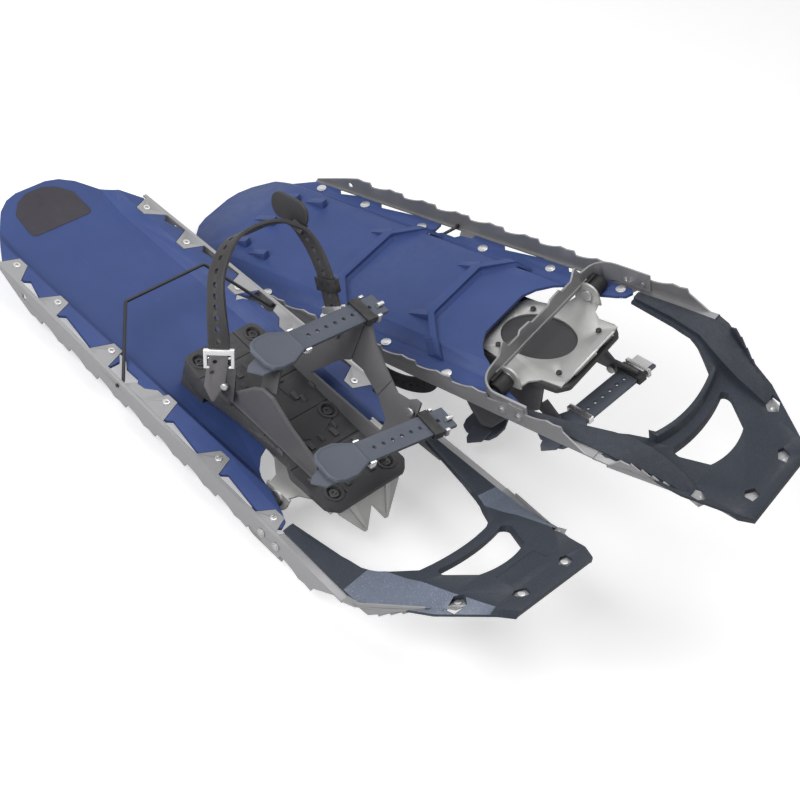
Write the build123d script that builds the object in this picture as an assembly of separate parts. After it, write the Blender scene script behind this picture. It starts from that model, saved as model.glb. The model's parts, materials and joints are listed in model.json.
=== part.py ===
"""A pair of moulded-deck snowshoes with steel rails, crampons and strap bindings.

Each shoe is modelled in its own frame: X runs from tail to toe along the middle of the deck, +Y points to the
outboard side of the left shoe, +Z up, with Z = 0 at the top face of the rail flanges. The right shoe is the
mirror image of the left one. The right shoe then lies upside down on its tail and heel strap, and the left shoe
stands beside it with its outboard rail resting on the right shoe's tail. Lengths are in millimetres.
"""
from build123d import *
from math import atan2, cos, degrees, radians, sin
import os

# ---------------------------------------------------------------- driving dimensions
DECK_TAIL_X = 3.0
RAIL_TAIL_X = 65.0
RAIL_TAIL_Y = 86.9
RAIL_SPLAY = 1.744               # degrees that each rail opens towards the toe
RAIL_SHEET = 1.6
RAIL_BEVEL_END_X = 511.0
NOSE_START_X = 519.0             # from here on the rail's strip is a node of its own
FLANGE_W = 3.6                   # narrow flange beside the deck
ARM_FLANGE_W = 14.0              # wider flange under the toe arm
TOOTH_PITCH = 39.3
TOOTH_FIRST_X = 120.1
TOOTH_COUNT = 10
TOOTH_Z = -20.0
GULLET_Z = -15.3

RIVETS = [                       # deck rivets: x, y and the tab's root, from and to
    (80.2, 74.8, 69.0, 98.0),
    (136.7, 74.4, 123.0, 149.0),
    (208.0, 73.4, 195.0, 221.0),
    (280.4, 74.2, 266.0, 295.0),
    (353.2, 80.2, 338.0, 366.0),
    (426.0, 86.4, 412.0, 438.0),
]
RIVET_SHANK_R = 2.4
TAB_REACH = 7.5                  # tab beyond its rivet, towards the deck
TAB_TIP_HALF = 5.5

DECK_T = 3.0
DECK_FLOOR_Z = -10.0             # top of the lower centre panel
SLOPE_TOP_Y = 68.0
SLOPE_FOOT_Y = 57.5
TAIL_KICK = 3.0                  # rise of the tail's end
TAIL_FLOOR_Z = -2.0              # depth of the centre panel at the tail's end
DECK_GAP = 6.0                   # deck edge inside the rail's outer face
DECK_GAP_WIDE = 11.0             # the same just behind each tab
ARCH_X = (204.0, 308.0)
ARCH_HALF = 35.0
ARCH_SWEEP = 26.0
ARCH_DEPTH = 4.2

TOE_X = (441, 489, 515, 527, 545, 557, 586, 625, 637)      # stations along the toe moulding
TOE_TOP = (3.2, 4.6, 9.0, 13.0, 23.0, 31.5, 47.0, 64.0, 68.0)
TOE_BASE = (0, 0, 1.5, 5.0, 14.5, 23.0, 38.5, 55.5, 61.0)
TOE_CREASE_Y = (83, 75, 62, 59, 58.5, 58, 57.5, 51, 44)
TOE_EDGE_Y = (90, 91.7, 92.6, 93, 86.5, 83, 74.6, 52.5, 46)
TOE_EDGE_Z = (1.6, 1.6, 1.8, 2.6, 11.0, 17.5, 33.8, 57.5, 62.5)
TOE_EDGE_T = 3.0
CROSSBAR_RIVETS_X = (426.6, 444.1)
CROSSBAR_RIVETS_Z = -9.7
TOE_RIVETS = ((594.0, 60.0, 44.9, 29.0), (624.5, 26.2, 61.3, 17.0))   # x, y, z and slope in degrees
TOE_RIVET_R = 2.0

CROSSBAR_X = 400.0
CROSSBAR_T = 2.0
CROSSBAR_TOP_Z = -13.0
CROSSBAR_BEND_R = 20.0
CROSSBAR_END_X = 452.0

PIVOT_X = 407.0
PIVOT_Z = -8.0
PIVOT_R = 3.0
PIVOT_CLEAR = 0.05
EAR_Y = 61.0
EAR_T = 2.0

PLATE_T = 2.0                    # crampon sheet
BED_FRONT_X = 455.0
BED_REAR_X = 250.0
BED_FRONT_Z = 5.0
BED_REAR_Z = 18.0
BED_HALF = 47.0
BOLTS = ((438.7, 31.0), (371.0, 27.0), (270.7, 31.0))

STRAP_W = 22.0
STRAP_T = 3.0
STRAP_HOLE_R = 1.9
HEEL_STRAP_W = 18.0
HEEL_STRAP_T = 3.0
LIFTER_R = 1.8
LIFTER_X = 239.5
LIFTER_Z = -4.5
LIFTER_RAISE = 31.0              # degrees above the deck

SMALL_ROUND_SIDES = 12           # sides of rivets, bolts and strap holes
LEFT_ROLL = 11.1                 # the left shoe leans on the right one, outboard side up
RIGHT_ORIGIN = (59.7, 202.1, -31.5)   # right shoe's own origin, seen from the left shoe's
RIGHT_TURN = (-156.42, -17.68, 0.6)   # roll, pitch and yaw in degrees


# ---------------------------------------------------------------- helpers
def both(shape):
    """The shape and its mirror image on the other side of the shoe."""
    return shape + mirror(shape, about=Plane.XZ)


def prism(points, z_low, z_high):
    """Upright prism over a polygon of (x, y) points."""
    return Pos(0, 0, z_low) * extrude(make_face(Polyline(*points, close=True)), z_high - z_low)


def rod(start, end, radius):
    """Round rod from one point to another."""
    axis = Vector(*end) - Vector(*start)
    plane = Plane(origin=start, z_dir=axis)
    return extrude(plane * Circle(radius), axis.length)


def side_plate(points, y, thick):
    """Plate parallel to XZ over a polygon of (x, z) points, from y to y + thick."""
    face = Plane(origin=(0, y, 0), x_dir=(1, 0, 0), z_dir=(0, -1, 0)) * make_face(Polyline(*points, close=True))
    return extrude(face, -thick)


def front_plate(points, x, thick):
    """Plate parallel to YZ over a polygon of (y, z) points, from x to x + thick."""
    face = Plane(origin=(x, 0, 0), x_dir=(0, 1, 0), z_dir=(1, 0, 0)) * make_face(Polyline(*points, close=True))
    return extrude(face, thick)


def skin(sections):
    """Ruled solid through polygons of 3-D points."""
    faces = [make_face(Polyline(*points, close=True)) for points in sections]
    return loft(faces, ruled=True)


def ribbon(stations, width, thick):
    """Flat strap through stations of (point, width direction); its faces stand square to the route."""
    points = [Vector(*point) for point, _ in stations]
    sections = []
    for at, (_, across) in enumerate(stations):
        along = (points[min(at + 1, len(points) - 1)] - points[max(at - 1, 0)]).normalized()
        wide = Vector(*across)
        wide = (wide - along * wide.dot(along)).normalized()
        face = along.cross(wide) * (thick / 2)
        wide *= width / 2
        corners = (wide + face, face - wide, -wide - face, wide - face)
        sections.append([tuple(points[at] + corner) for corner in corners])
    return skin(sections)


def rail_y(x):
    """Outer face of the rail wall at x."""
    return RAIL_TAIL_Y + (x - RAIL_TAIL_X) * sin(radians(RAIL_SPLAY)) / cos(radians(RAIL_SPLAY))


# ---------------------------------------------------------------- toe moulding
def toe_half_section(at):
    """Outboard half of the toe's cross-section at one station, from the middle outwards and back."""
    x = TOE_X[at]
    top = (x, TOE_CREASE_Y[at], TOE_TOP[at])
    edge = (x, TOE_EDGE_Y[at], TOE_EDGE_Z[at])
    under = (x, TOE_EDGE_Y[at], max(TOE_EDGE_Z[at] - TOE_EDGE_T, 0))
    base = (x, TOE_CREASE_Y[at], TOE_BASE[at])
    return [top, edge, under, base]


def toe_section(at):
    """Closed cross-section of the toe at one station."""
    half = toe_half_section(at)
    return half + [(x, -y, z) for x, y, z in reversed(half)]


def toe_blank():
    """Toe moulding before its openings are cut."""
    return skin([toe_section(at) for at in range(len(TOE_X))])


def toe_opening():
    """Plan of the big opening between the arms, closed at the back well behind the arms."""
    side = [(430, 80.0), (443, 79.5), (489, 72.0), (508, 69.0), (520, 63.0), (544.5, 44.5)]
    edges = [Polyline(*side), ThreePointArc((544.5, 44.5), (550.5, 0), (544.5, -44.5)),
             Polyline(*[(x, -y) for x, y in reversed(side)]), Line((430, -80), (430, 80))]
    return make_face(edges)


def toe_window():
    """Plan of the window in front of the crossbeam."""
    side = Polyline((566, 41), (586, 27.5))
    edges = [ThreePointArc((557, 38), (561, 0), (557, -38)), ThreePointArc((586, -27.5), (591, 0), (586, 27.5)),
             ThreePointArc((557, 38), (559.5, 41.2), (566, 41)), side,
             ThreePointArc((557, -38), (559.5, -41.2), (566, -41)), Polyline((566, -41), (586, -27.5))]
    return make_face(edges)


def rivet_windows():
    """Four-sided windows around the toe rivets."""
    rear = prism([(588.0, 59.0), (593.5, 54.0), (601.0, 59.0), (598.0, 67.5), (590.5, 68.5)], 20, 90)
    front = prism([(618.5, 27.5), (623.0, 19.5), (629.5, 21.5), (628.0, 31.5), (620.5, 33.0)], 40, 90)
    return both(rear + front)


def crossbeam_rib():
    """Rib under the edge of the crossbeam, along the big opening."""
    outer = toe_opening()
    band = extrude(offset(outer, 3.5) - outer, 60) & Pos(560, 0, 0) * Box(44, 96, 160)
    under = side_plate([(530, -4), (545, 5.0), (557, 13.5), (575, 24), (575, 36), (557, 26), (545, 17), (530, 8)],
                       -60, 120)
    return band & under


def toe(rails):
    body = toe_blank() + crossbeam_rib()
    body -= extrude(toe_opening(), 90)
    body -= extrude(toe_window(), 90)
    body -= rivet_windows()
    body -= badge_recess()
    for rail_solid in rails:
        body -= rail_solid
    return body.solids().sort_by(SortBy.VOLUME)[-1]


def badge_recess():
    """Shallow plain panel on the front of the toe."""
    slope = degrees(atan2(64 - 47, 625 - 586))
    frame = Pos(604.5, 0, 55.1) * Rot(0, -slope, 0)
    return frame * Pos(0, 0, 2) * Box(15, 46, 4.8)


# ---------------------------------------------------------------- rails
def tab_points(rivet):
    x, y, root_0, root_1 = rivet
    tip = y - TAB_REACH
    root = rail_y(x) - FLANGE_W + 0.5
    return [(root_0, root), (x - TAB_TIP_HALF, tip), (x + TAB_TIP_HALF, tip), (root_1, root)]


def lifter_tab_points():
    """Low tab beside the lifter, joined to the tab of the fourth rivet."""
    root = rail_y(LIFTER_X) - FLANGE_W + 0.5
    return [(244.0, root), (248.0, 80.5), (258.0, 79.0), (266.0, 71.0), (276.0, 71.0), (281.0, root)]


def wall_outline():
    """Serrated rail wall in its own plane: distance from the rail's tail end, height."""
    edges = [Polyline((RAIL_BEVEL_END_X, -RAIL_SHEET), (RAIL_BEVEL_END_X, 0), (RAIL_TAIL_X, 0),
                      (RAIL_TAIL_X, -2.5), (RAIL_TAIL_X + 38, -15.0), (TOOTH_FIRST_X, TOOTH_Z))]
    for tooth in range(TOOTH_COUNT):
        x = TOOTH_FIRST_X + tooth * TOOTH_PITCH
        edges.append(Polyline((x, TOOTH_Z), (x + 7, TOOTH_Z + 1.2), (x + 15, TOOTH_Z), (x + 16.5, GULLET_Z)))
        if tooth < TOOTH_COUNT - 1:
            mid = (x + 29, GULLET_Z - 1.2)
            edges.append(ThreePointArc((x + 16.5, GULLET_Z), mid, (x + TOOTH_PITCH, TOOTH_Z)))
    last = TOOTH_FIRST_X + (TOOTH_COUNT - 1) * TOOTH_PITCH + 16.5
    edges.append(Polyline((last, GULLET_Z), (RAIL_BEVEL_END_X, -RAIL_SHEET)))
    return make_face(edges)


def corner_wall_points():
    """Toothed wall at the toe corner, hanging from the rising flange: (distance, height)."""
    points = [(0, 6.5), (56, 34.0), (53, 28.0)]
    for tooth in range(4):
        at = 46 - 8.5 * tooth
        depth = 22.0 - 6.6 * tooth
        points += [(at, depth), (at - 1.5, depth + 1.8)]
    return points + [(12, -1.0), (3, 4.0)]


def toe_strip_sheet():
    """Sheet that follows the underside of the toe: flat, then rising to the front rivets."""
    top = [(430, 0), (516, 0), (530, 3.5), (549, 13.0), (578, 31.0), (594, 44.9), (622, 60.4), (634, 63.8)]
    bottom = [(x, z - RAIL_SHEET) for x, z in reversed(top)]
    return side_plate(top + bottom, 0, 110)


def nose_strip():
    """Sheet that runs on from the flange, first beside the toe moulding and then inside it."""
    sheet = toe_strip_sheet()
    beside = prism([(519, rail_y(519)), (531, 98.0), (577, 75.0), (572, 68.0), (545, 80.0),
                    (519, rail_y(519) - ARM_FLANGE_W)], -20, 90)
    inside = prism([(570, 77.0), (580, 73.0), (601, 60.5), (629.5, 30.0), (631, 18.0), (618, 18.0), (602, 42.0),
                    (586, 53.0), (562, 66.0)], -20, 90)
    return (sheet & beside) + (sheet & inside & toe_blank())


def rail():
    """Outboard rail of the left shoe."""
    splay = radians(RAIL_SPLAY)
    plane = Plane(origin=(RAIL_TAIL_X, RAIL_TAIL_Y, 0), x_dir=(cos(splay), sin(splay), 0),
                  z_dir=(sin(splay), -cos(splay), 0))
    body = extrude(plane * Pos(-RAIL_TAIL_X, 0, 0) * wall_outline(), RAIL_SHEET)
    body += prism([(RAIL_TAIL_X, rail_y(RAIL_TAIL_X)), (520, rail_y(520)), (520, rail_y(520) - ARM_FLANGE_W),
                   (446, rail_y(446) - ARM_FLANGE_W), (441, rail_y(441) - FLANGE_W),
                   (RAIL_TAIL_X, rail_y(RAIL_TAIL_X) - FLANGE_W)], -RAIL_SHEET, 0)
    for rivet in RIVETS:
        body += prism(tab_points(rivet), -RAIL_SHEET, 0)
    body += prism(lifter_tab_points(), -RAIL_SHEET, 0)
    body += nose_strip()
    turn = degrees(atan2(75.0 - 98.0, 577.0 - 531.0))
    corner = make_face(Polyline(*corner_wall_points(), close=True))
    body += Pos(530.5, 98.0, 0) * Rot(0, 0, turn) * Rot(90, 0, 0) * extrude(corner, RAIL_SHEET)
    for x, y, _, _ in RIVETS:
        body -= Pos(x, y, -5) * stud(RIVET_SHANK_R, 10)
    for x in CROSSBAR_RIVETS_X:
        body -= cross_stud(x, CROSSBAR_RIVETS_Z, rail_y(x) - 5, rail_y(x) + 3, RIVET_SHANK_R)
    for rivet in TOE_RIVETS:
        body -= toe_rivet_frame(rivet) * Pos(0, 0, -10) * stud(TOE_RIVET_R, 20)
    body -= cross_rod(109, -9, rail_y(109) - 4, rail_y(109) + 4, 2.6)
    body -= cross_rod(LIFTER_X, LIFTER_Z, rail_y(LIFTER_X) - 4, rail_y(LIFTER_X) + 4, LIFTER_R + PIVOT_CLEAR)
    return body


def rail_and_nose():
    """The straight rail, and its nose strip that follows the toe."""
    whole = rail()
    straight = whole & Pos(NOSE_START_X - 500, 0, 0) * Box(1000, 400, 300)
    return straight, whole - straight


# ---------------------------------------------------------------- deck
def deck_section(x, lift, floor):
    """Cross-section of the deck: side flanges, slopes and the lower centre panel."""
    half = [(100.0, lift), (SLOPE_TOP_Y, lift), (SLOPE_FOOT_Y, lift + floor)]
    top = [(x, y, z) for y, z in half] + [(x, -y, z) for y, z in reversed(half)]
    under = [(x, y, z - DECK_T) for _, y, z in reversed(top)]
    return top + under


def deck_outline():
    """Plan of the deck with its chamfered tail and the notch for the crampon."""
    tail = [(DECK_TAIL_X, 17.0), (6.5, 30.0), (15.0, 42.5), (32.0, 56.5), (49.0, 69.0), (68.0, 81.2)]
    notch = [(434.0, rail_y(434) - DECK_GAP), (438.0, 88.0), (435.0, 81.0), (427.0, 77.0), (396.0, 65.0), (376.0, 53.0),
             (365.0, 41.0), (359.0, 28.0)]
    half = tail + deck_edge() + notch
    return half + [(x, -y) for x, y in reversed(half)]


def deck_edge():
    """Edge between the tabs, farthest from the rail on the toe side of each tab."""
    points = []
    for behind, ahead in ((0, 1), (1, 2), (3, 4), (4, 5)):
        start = RIVETS[behind][3]
        stop = RIVETS[ahead][2]
        points += [(start + 1, rail_y(start) - DECK_GAP), (start + 5, rail_y(start) - DECK_GAP_WIDE),
                   (stop - 2, rail_y(stop) - DECK_GAP)]
    return points


def deck_arch(x):
    """Swept ridge under the deck with a steep face towards the toe."""
    stations = [(69.0, x + ARCH_SWEEP + 5, -7.6, -3.5), (60.0, x + ARCH_SWEEP - 4, -16.0, -12.0),
                (ARCH_HALF, x, DECK_FLOOR_Z - DECK_T - ARCH_DEPTH, -12.0)]
    half = [[(at, y, ridge), (at - 15, y, root), (at + 2.5, y, root)] for y, at, ridge, root in stations]
    return skin(half + [[(px, -y, z) for px, y, z in section] for section in reversed(half)])


def deck_fin(x, y):
    """Small wedge fin under the deck, deepest at its toe end."""
    root = DECK_FLOOR_Z - DECK_T + 1
    return side_plate([(x - 26, root), (x, root), (x, root - 5.0)], y - 3.2, 6.4)


def tab_recesses():
    """Recesses in which the rail tabs lie flush with the deck."""
    pockets = []
    for rivet in RIVETS:
        pockets.append(tab_points(rivet))
    pockets.append(lifter_tab_points())
    tools = [extrude(Pos(0, 0, -RAIL_SHEET)
                     * offset(make_face(Polyline(*points, close=True)), 0.5, kind=Kind.INTERSECTION), 4)
             for points in pockets]
    return tools


def deck():
    shell = skin([deck_section(DECK_TAIL_X, TAIL_KICK, TAIL_FLOOR_Z), deck_section(66, 0, DECK_FLOOR_Z),
                  deck_section(442, 0, DECK_FLOOR_Z)])
    body = shell & prism(deck_outline(), -30, 30)
    for x in ARCH_X:
        body += deck_arch(x)
        body += both(deck_fin(x - 3, 38))
    body += both(deck_fin(84, 38)) + both(deck_fin(113, 44)) + deck_fin(86, 0)
    for pocket in tab_recesses():
        body -= both(pocket)
    for x, y, _, _ in RIVETS:
        body -= both(Pos(x, y, -10) * stud(RIVET_SHANK_R, 20))
    body -= both(prism([(213.0, 68.8), (216.6, 64.2), (231, 75.5), (246, 75.5), (250, 80), (262, 82), (262, 95),
                        (222, 95), (222, 75.8)], -10, 10))
    return body


# ---------------------------------------------------------------- rivets
def deck_rivet(x, y):
    """Tubular rivet: wide dome under the deck, small rolled edge on the tab."""
    dome = Pos(x, y, -DECK_T - 1.6) * stud(3.4, 0.6) + Pos(x, y, -DECK_T - 1.0) * stud(4.8, 1.0)
    shank = Pos(x, y, -DECK_T - 1.0) * stud(RIVET_SHANK_R, DECK_T + 1.0)
    edge = Pos(x, y, 0) * (stud(3.2, 0.7) - stud(1.3, 0.7))
    return dome + shank + edge


def deck_rivets():
    return [both(deck_rivet(x, y)) for x, y, _, _ in RIVETS]


def toe_rivet_frame(rivet):
    """Frame of a toe rivet, square to the sheet it holds."""
    x, y, z, slope = rivet
    return Pos(x, y, z) * Rot(0, -slope, 0)


def toe_rivets():
    shank = Pos(0, 0, -RAIL_SHEET) * stud(TOE_RIVET_R, RAIL_SHEET + 1.0)
    head = Pos(0, 0, 0.15) * stud(3.2, 1.0)
    return [both(toe_rivet_frame(rivet) * (shank + head)) for rivet in TOE_RIVETS]


def stud(radius, height):
    """Small upright stud with few sides, for heads and shanks that repeat."""
    return extrude(RegularPolygon(radius, SMALL_ROUND_SIDES), height)


def cross_stud(x, z, y_from, y_to, radius):
    """Stud across the shoe."""
    return Pos(x, y_from, z) * Rot(-90, 0, 0) * stud(radius, y_to - y_from)


def cross_rod(x, z, y_from, y_to, radius):
    """Round rod across the shoe."""
    return rod((x, y_from, z), (x, y_to, z), radius)


def crossbar_rivets():
    rivets = []
    for x in CROSSBAR_RIVETS_X:
        y = rail_y(x)
        shank = cross_stud(x, CROSSBAR_RIVETS_Z, y - RAIL_SHEET - CROSSBAR_T - 1.0, y + 0.3, RIVET_SHANK_R)
        head = cross_stud(x, CROSSBAR_RIVETS_Z, y + 0.2, y + 1.2, 4.0)
        head += cross_stud(x, CROSSBAR_RIVETS_Z, y + 1.2, y + 1.9, 2.6)
        rivets.append(both(shank + head))
    return rivets


# ---------------------------------------------------------------- crossbar
def crossbar():
    end_y = rail_y(CROSSBAR_END_X) - RAIL_SHEET - CROSSBAR_T / 2 - 0.1
    bend_y = rail_y(CROSSBAR_X) - RAIL_SHEET - CROSSBAR_T / 2 - 0.1
    path = FilletPolyline((CROSSBAR_END_X, end_y), (CROSSBAR_X, bend_y), (CROSSBAR_X, -bend_y),
                          (CROSSBAR_END_X, -end_y), radius=CROSSBAR_BEND_R)
    blade = Pos(0, 0, -60) * extrude(trace(path, line_width=CROSSBAR_T), 60)
    half = [(0, CROSSBAR_TOP_Z), (80, CROSSBAR_TOP_Z), (88, -4.0), (100, -4.0), (100, -21.0), (90, -25.5),
            (62, -30.0), (58, -36.0), (55.5, -41.0), (53.5, -41.0), (48, -31.0), (33, -31.0), (30, -35.0),
            (16, -34.0), (13, -30.6), (0, -30.6)]
    outline = [(y, z) for y, z in half] + [(-y, z) for y, z in reversed(half[1:-1])]
    body = blade & front_plate(outline, CROSSBAR_X - 10, 80)
    bead = Pos(CROSSBAR_X, 0, -17.5) * Box(CROSSBAR_T + 1.8, 140, 2.0)
    body += bead
    for x in CROSSBAR_RIVETS_X:
        body -= both(cross_stud(x, CROSSBAR_RIVETS_Z, rail_y(x) - 8, rail_y(x), RIVET_SHANK_R))
    return body


# ---------------------------------------------------------------- pivot
def pivot_pins():
    pin = cross_rod(PIVOT_X, PIVOT_Z, EAR_Y - 0.3, 81.0, PIVOT_R)
    head = cross_rod(PIVOT_X, PIVOT_Z, EAR_Y - 2.0, EAR_Y - 0.2, 5.5)
    return [both(pin + head)]


def pivot_washers():
    disc = cross_rod(PIVOT_X, PIVOT_Z, EAR_Y + EAR_T + 0.2, EAR_Y + EAR_T + 1.8, 6.8)
    return [both(disc - cross_rod(PIVOT_X, PIVOT_Z, EAR_Y, EAR_Y + 9, PIVOT_R))]


def pivot_bushes(bar):
    """Plastic bushes that sit on the crossbar's upper edge."""
    start = EAR_Y + EAR_T + 1.8
    bush = cross_rod(PIVOT_X, PIVOT_Z, start, 82.0, 8.2) & Pos(PIVOT_X, 75, -DECK_T - 16.6) * Box(30, 40, 30)
    saddle = Pos(CROSSBAR_X + 1, (start + 80) / 2, -12.5) * Box(8, 80 - start, 11)
    solid = bush + saddle - cross_rod(PIVOT_X, PIVOT_Z, 50, 100, PIVOT_R)
    return [both(solid) - bar]


# ---------------------------------------------------------------- crampon
def crampon_tooth():
    """Front tooth, bent down from the plate's front edge, with a pressed flute."""
    plane = Plane(origin=(449, 0, -PLATE_T), x_dir=(0, 1, 0), z_dir=(-0.828, 0, -0.56))
    outline = [(0, -0.8), (38, -0.8), (35, 6), (29, 13), (14, 31.4), (11, 31.4), (0, 12.5)]
    tooth = extrude(plane * make_face(Polyline(*outline, close=True)), -PLATE_T)
    flute = [(19, 1), (26, 1), (13.7, 28), (12.3, 28)]
    return tooth + extrude(plane * make_face(Polyline(*flute, close=True)), -PLATE_T - 1.4)


def crampon():
    half = [(352, 0), (352, 26), (358, 36), (378, 40), (393, 52), (396, EAR_Y + EAR_T), (418, EAR_Y + EAR_T),
            (421, 52), (430, 45), (450, 44), (450, 0)]
    outline = half + [(x, -y) for x, y in reversed(half[1:-1])]
    plate = prism(outline, -PLATE_T, 0)
    hole = Pos(396, 0, -5) * extrude(Ellipse(37, 27.5), 10)
    ear = side_plate([(400.5, 0), (413.5, 0), (413.9, PIVOT_Z), (400.1, PIVOT_Z)], EAR_Y, EAR_T)
    ear += cross_rod(PIVOT_X, PIVOT_Z, EAR_Y, EAR_Y + EAR_T, 6.9)
    body = plate - hole + both(ear) + both(crampon_tooth())
    for x, y in BOLTS[:2]:
        body -= both(Pos(x, y, -5) * stud(2.6, 10))
    return body - both(cross_rod(PIVOT_X, PIVOT_Z, EAR_Y - 2, EAR_Y + EAR_T + 2, PIVOT_R + PIVOT_CLEAR))


# ---------------------------------------------------------------- binding
def bed_z(x):
    """Top of the footbed at x."""
    return BED_REAR_Z + (BED_FRONT_Z - BED_REAR_Z) * (x - BED_REAR_X) / (BED_FRONT_X - BED_REAR_X)


def footbed():
    half = [(BED_REAR_X, 24), (BED_REAR_X + 5, 40), (290, 45), (330, 40), (392, 40), (404, BED_HALF),
            (446, BED_HALF), (BED_FRONT_X, 38)]
    outline = make_face(Polyline(*half, *[(x, -y) for x, y in reversed(half)], close=True))
    outline = fillet(outline.vertices(), 5)
    blank = Pos(0, 0, 0.2) * extrude(outline, 30)
    wedge = side_plate([(240, 0), (470, 0), (470, bed_z(470)), (240, bed_z(240))], -60, 120)
    body = blank & wedge
    hollow = prism([(262, -30), (345, -24), (345, 24), (262, 30)], 0, 7)
    body -= hollow
    for x, y in BOLTS:
        recess = Pos(x, y, bed_z(x) - 2.6) * stud(6.4, 8)
        body -= both(recess + Pos(x, y, -2) * stud(2.6, 30))
    for x in (300, 322, 344):
        body += both(Pos(x, 13, bed_z(x) + 0.4) * Box(9, 5, 2.4))
    for x in (392, 414, 436):
        body += both(Pos(x, 14, bed_z(x) + 0.4) * Box(9, 5, 2.4))
    return body + both(heel_pad())


def heel_pad():
    """Pad under the heel of the footbed that rests on the deck."""
    return prism([(262, 34), (262, 42), (292, 42), (292, 34)], DECK_FLOOR_Z + 0.1, 2)


def binding_bolts():
    bolts = []
    for x, y in BOLTS:
        z = bed_z(x) - 2.6
        low = -PLATE_T - 2.0 if x > 300 else 0.4
        head = Pos(x, y, z) * (stud(4.6, 2.0) - Pos(0, 0, 0.8) * extrude(RegularPolygon(2.2, 6), 2))
        bolts.append(both(head + Pos(x, y, low) * stud(2.6, z - low)))
    return bolts


WING_LEAN = 16.0
WING_T = 2.6
WING_ROOT_Y = 35.5
WING_ROOT_Z = 12.0
HEEL_RIVET = (342.0, 66.0)        # x and z
LOBE_BOLT = (438.0, 56.0)


def wing_plate(points, side):
    """Leaning side plate; the points are (x, height above the footbed)."""
    lean = radians(WING_LEAN)
    plane = Plane(origin=(0, side * WING_ROOT_Y, WING_ROOT_Z), x_dir=(1, 0, 0),
                  z_dir=(0, -cos(lean), side * sin(lean)))
    local = [(x, (z - WING_ROOT_Z) / cos(lean)) for x, z in points]
    return extrude(plane * make_face(Polyline(*local, close=True)), -side * WING_T)


def outboard_wing(bed):
    """Open triangular loop beside the outer edge of the foot."""
    outer = [(308, 8), (319, 24), (335, 58), (335, 72), (350, 81), (347, 95), (365, 95), (380, 81), (398, 70),
             (418, 59), (430, 61), (436, 66), (442, 66), (444, 52), (466, 52), (466, 47), (442, 44), (434, 26),
             (432, 5)]
    hole = [(336, 20), (357, 49), (366, 55), (380, 55), (404, 45), (420, 33), (420, 20)]
    body = wing_plate(outer, 1) - Pos(0, 10, 0) * wing_hole_tool(hole) - bed
    return body - wing_pins()


def wing_pins():
    """Rivet that holds the heel strap's outboard end on the wing, and the bolt in the wing's front lobe."""
    x, z = HEEL_RIVET
    rivet = cross_stud(x, z, 48.0, 60.0, 2.2) + cross_stud(x, z, 58.4, 60.0, 4.2) + cross_stud(x, z, 47.4, 49.0, 4.2)
    x, z = LOBE_BOLT
    return rivet + cross_stud(x, z, 44.5, 53.5, 2.2) + cross_stud(x, z, 43.5, 45.5, 4.2)


def wing_hole_tool(points):
    return side_plate(points, 0, 80)


def inboard_wing(bed):
    """Solid side wing beside the inner edge of the foot."""
    outer = [(315, 8), (322, 30), (350, 66), (362, 77), (374, 76), (395, 55), (424, 38), (426, 8)]
    return wing_plate(outer, -1) - bed


# ---------------------------------------------------------------- forefoot straps
STRAPS = {                       # strap: tip of its paddle (x, y, z) and skew in degrees
    "rear_strap": (349.0, -54.0, 97.0, -4.0),
    "front_strap": (441.0, -61.0, 54.0, -8.6),
}
STRAP_L = 132.0                  # from the paddle's tip to the outboard end
PADDLE_L = 40.0
PADDLE_W = 37.0
STRAP_HOLES_AT = (53.0, 62.6, 72.2, 81.8, 91.4, 101.0, 120.0)
STRAP_KEEPER_AT = 111.5
STRAP_PEG_AT = 126.5


def strap_frame(name):
    """Frame at the tip of a strap's paddle: Y along the strap, Z = 0 at its underside."""
    x, y, z, skew = STRAPS[name]
    return Pos(x, y, z) * Rot(0, 0, skew)


def forefoot_strap(name):
    """Strap with a wide pull paddle at its inboard end and a row of holes."""
    half = [(9.0, 0), (15.5, 3.5), (PADDLE_W / 2, 11.0), (PADDLE_W / 2, 23.0), (STRAP_W / 2, PADDLE_L)]
    paddle = extrude(make_face(Polyline(*half, *[(-x, y) for x, y in reversed(half)], close=True)), STRAP_T + 1.2)
    paddle = chamfer(paddle.faces().sort_by(Axis.Z)[-1].edges(), 0.8)
    band = Pos(0, (STRAP_L + PADDLE_L) / 2 - 1, 0) * Rectangle(STRAP_W, STRAP_L - PADDLE_L + 2)
    body = paddle + extrude(band, STRAP_T)
    for at in STRAP_HOLES_AT:
        body -= Pos(0, at, -2) * stud(STRAP_HOLE_R, 8)
    return strap_frame(name) * body


def strap_keeper(name):
    """Dark keeper that holds the strap down on the outboard wing."""
    loop = Box(STRAP_W + 5.0, 10.0, STRAP_T + 4.4) - Box(STRAP_W + 0.4, 12.0, STRAP_T + 0.4)
    return strap_frame(name) * Pos(0, STRAP_KEEPER_AT, STRAP_T / 2) * loop


def strap_hook(name):
    """Steel hook under the strap's outboard end with a round nose that stands up past it."""
    plate = Pos(0, STRAP_PEG_AT - 3, -1.2) * Box(STRAP_W - 4, 14.0, 2.0)
    nose = Pos(3.0, STRAP_PEG_AT - 1.5, STRAP_T + 2.2) * Rot(-90, 0, 0) * extrude(Circle(2.0), 6.5)
    leg = Pos(3.0, STRAP_PEG_AT, 1.2) * extrude(Circle(1.6), STRAP_T)
    horns = Pos(STRAP_W / 2 + 1.4, STRAP_PEG_AT - 6, 1.0) * Box(2.4, 4.0, 7.5)
    horns += Pos(-STRAP_W / 2 - 1.4, STRAP_PEG_AT - 6, 1.0) * Box(2.4, 4.0, 7.5)
    bridge = Pos(0, STRAP_PEG_AT - 6, -1.7) * Box(STRAP_W + 5.2, 4.0, 2.0)
    return strap_frame(name) * (plate + bridge + horns + nose + leg)


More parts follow.
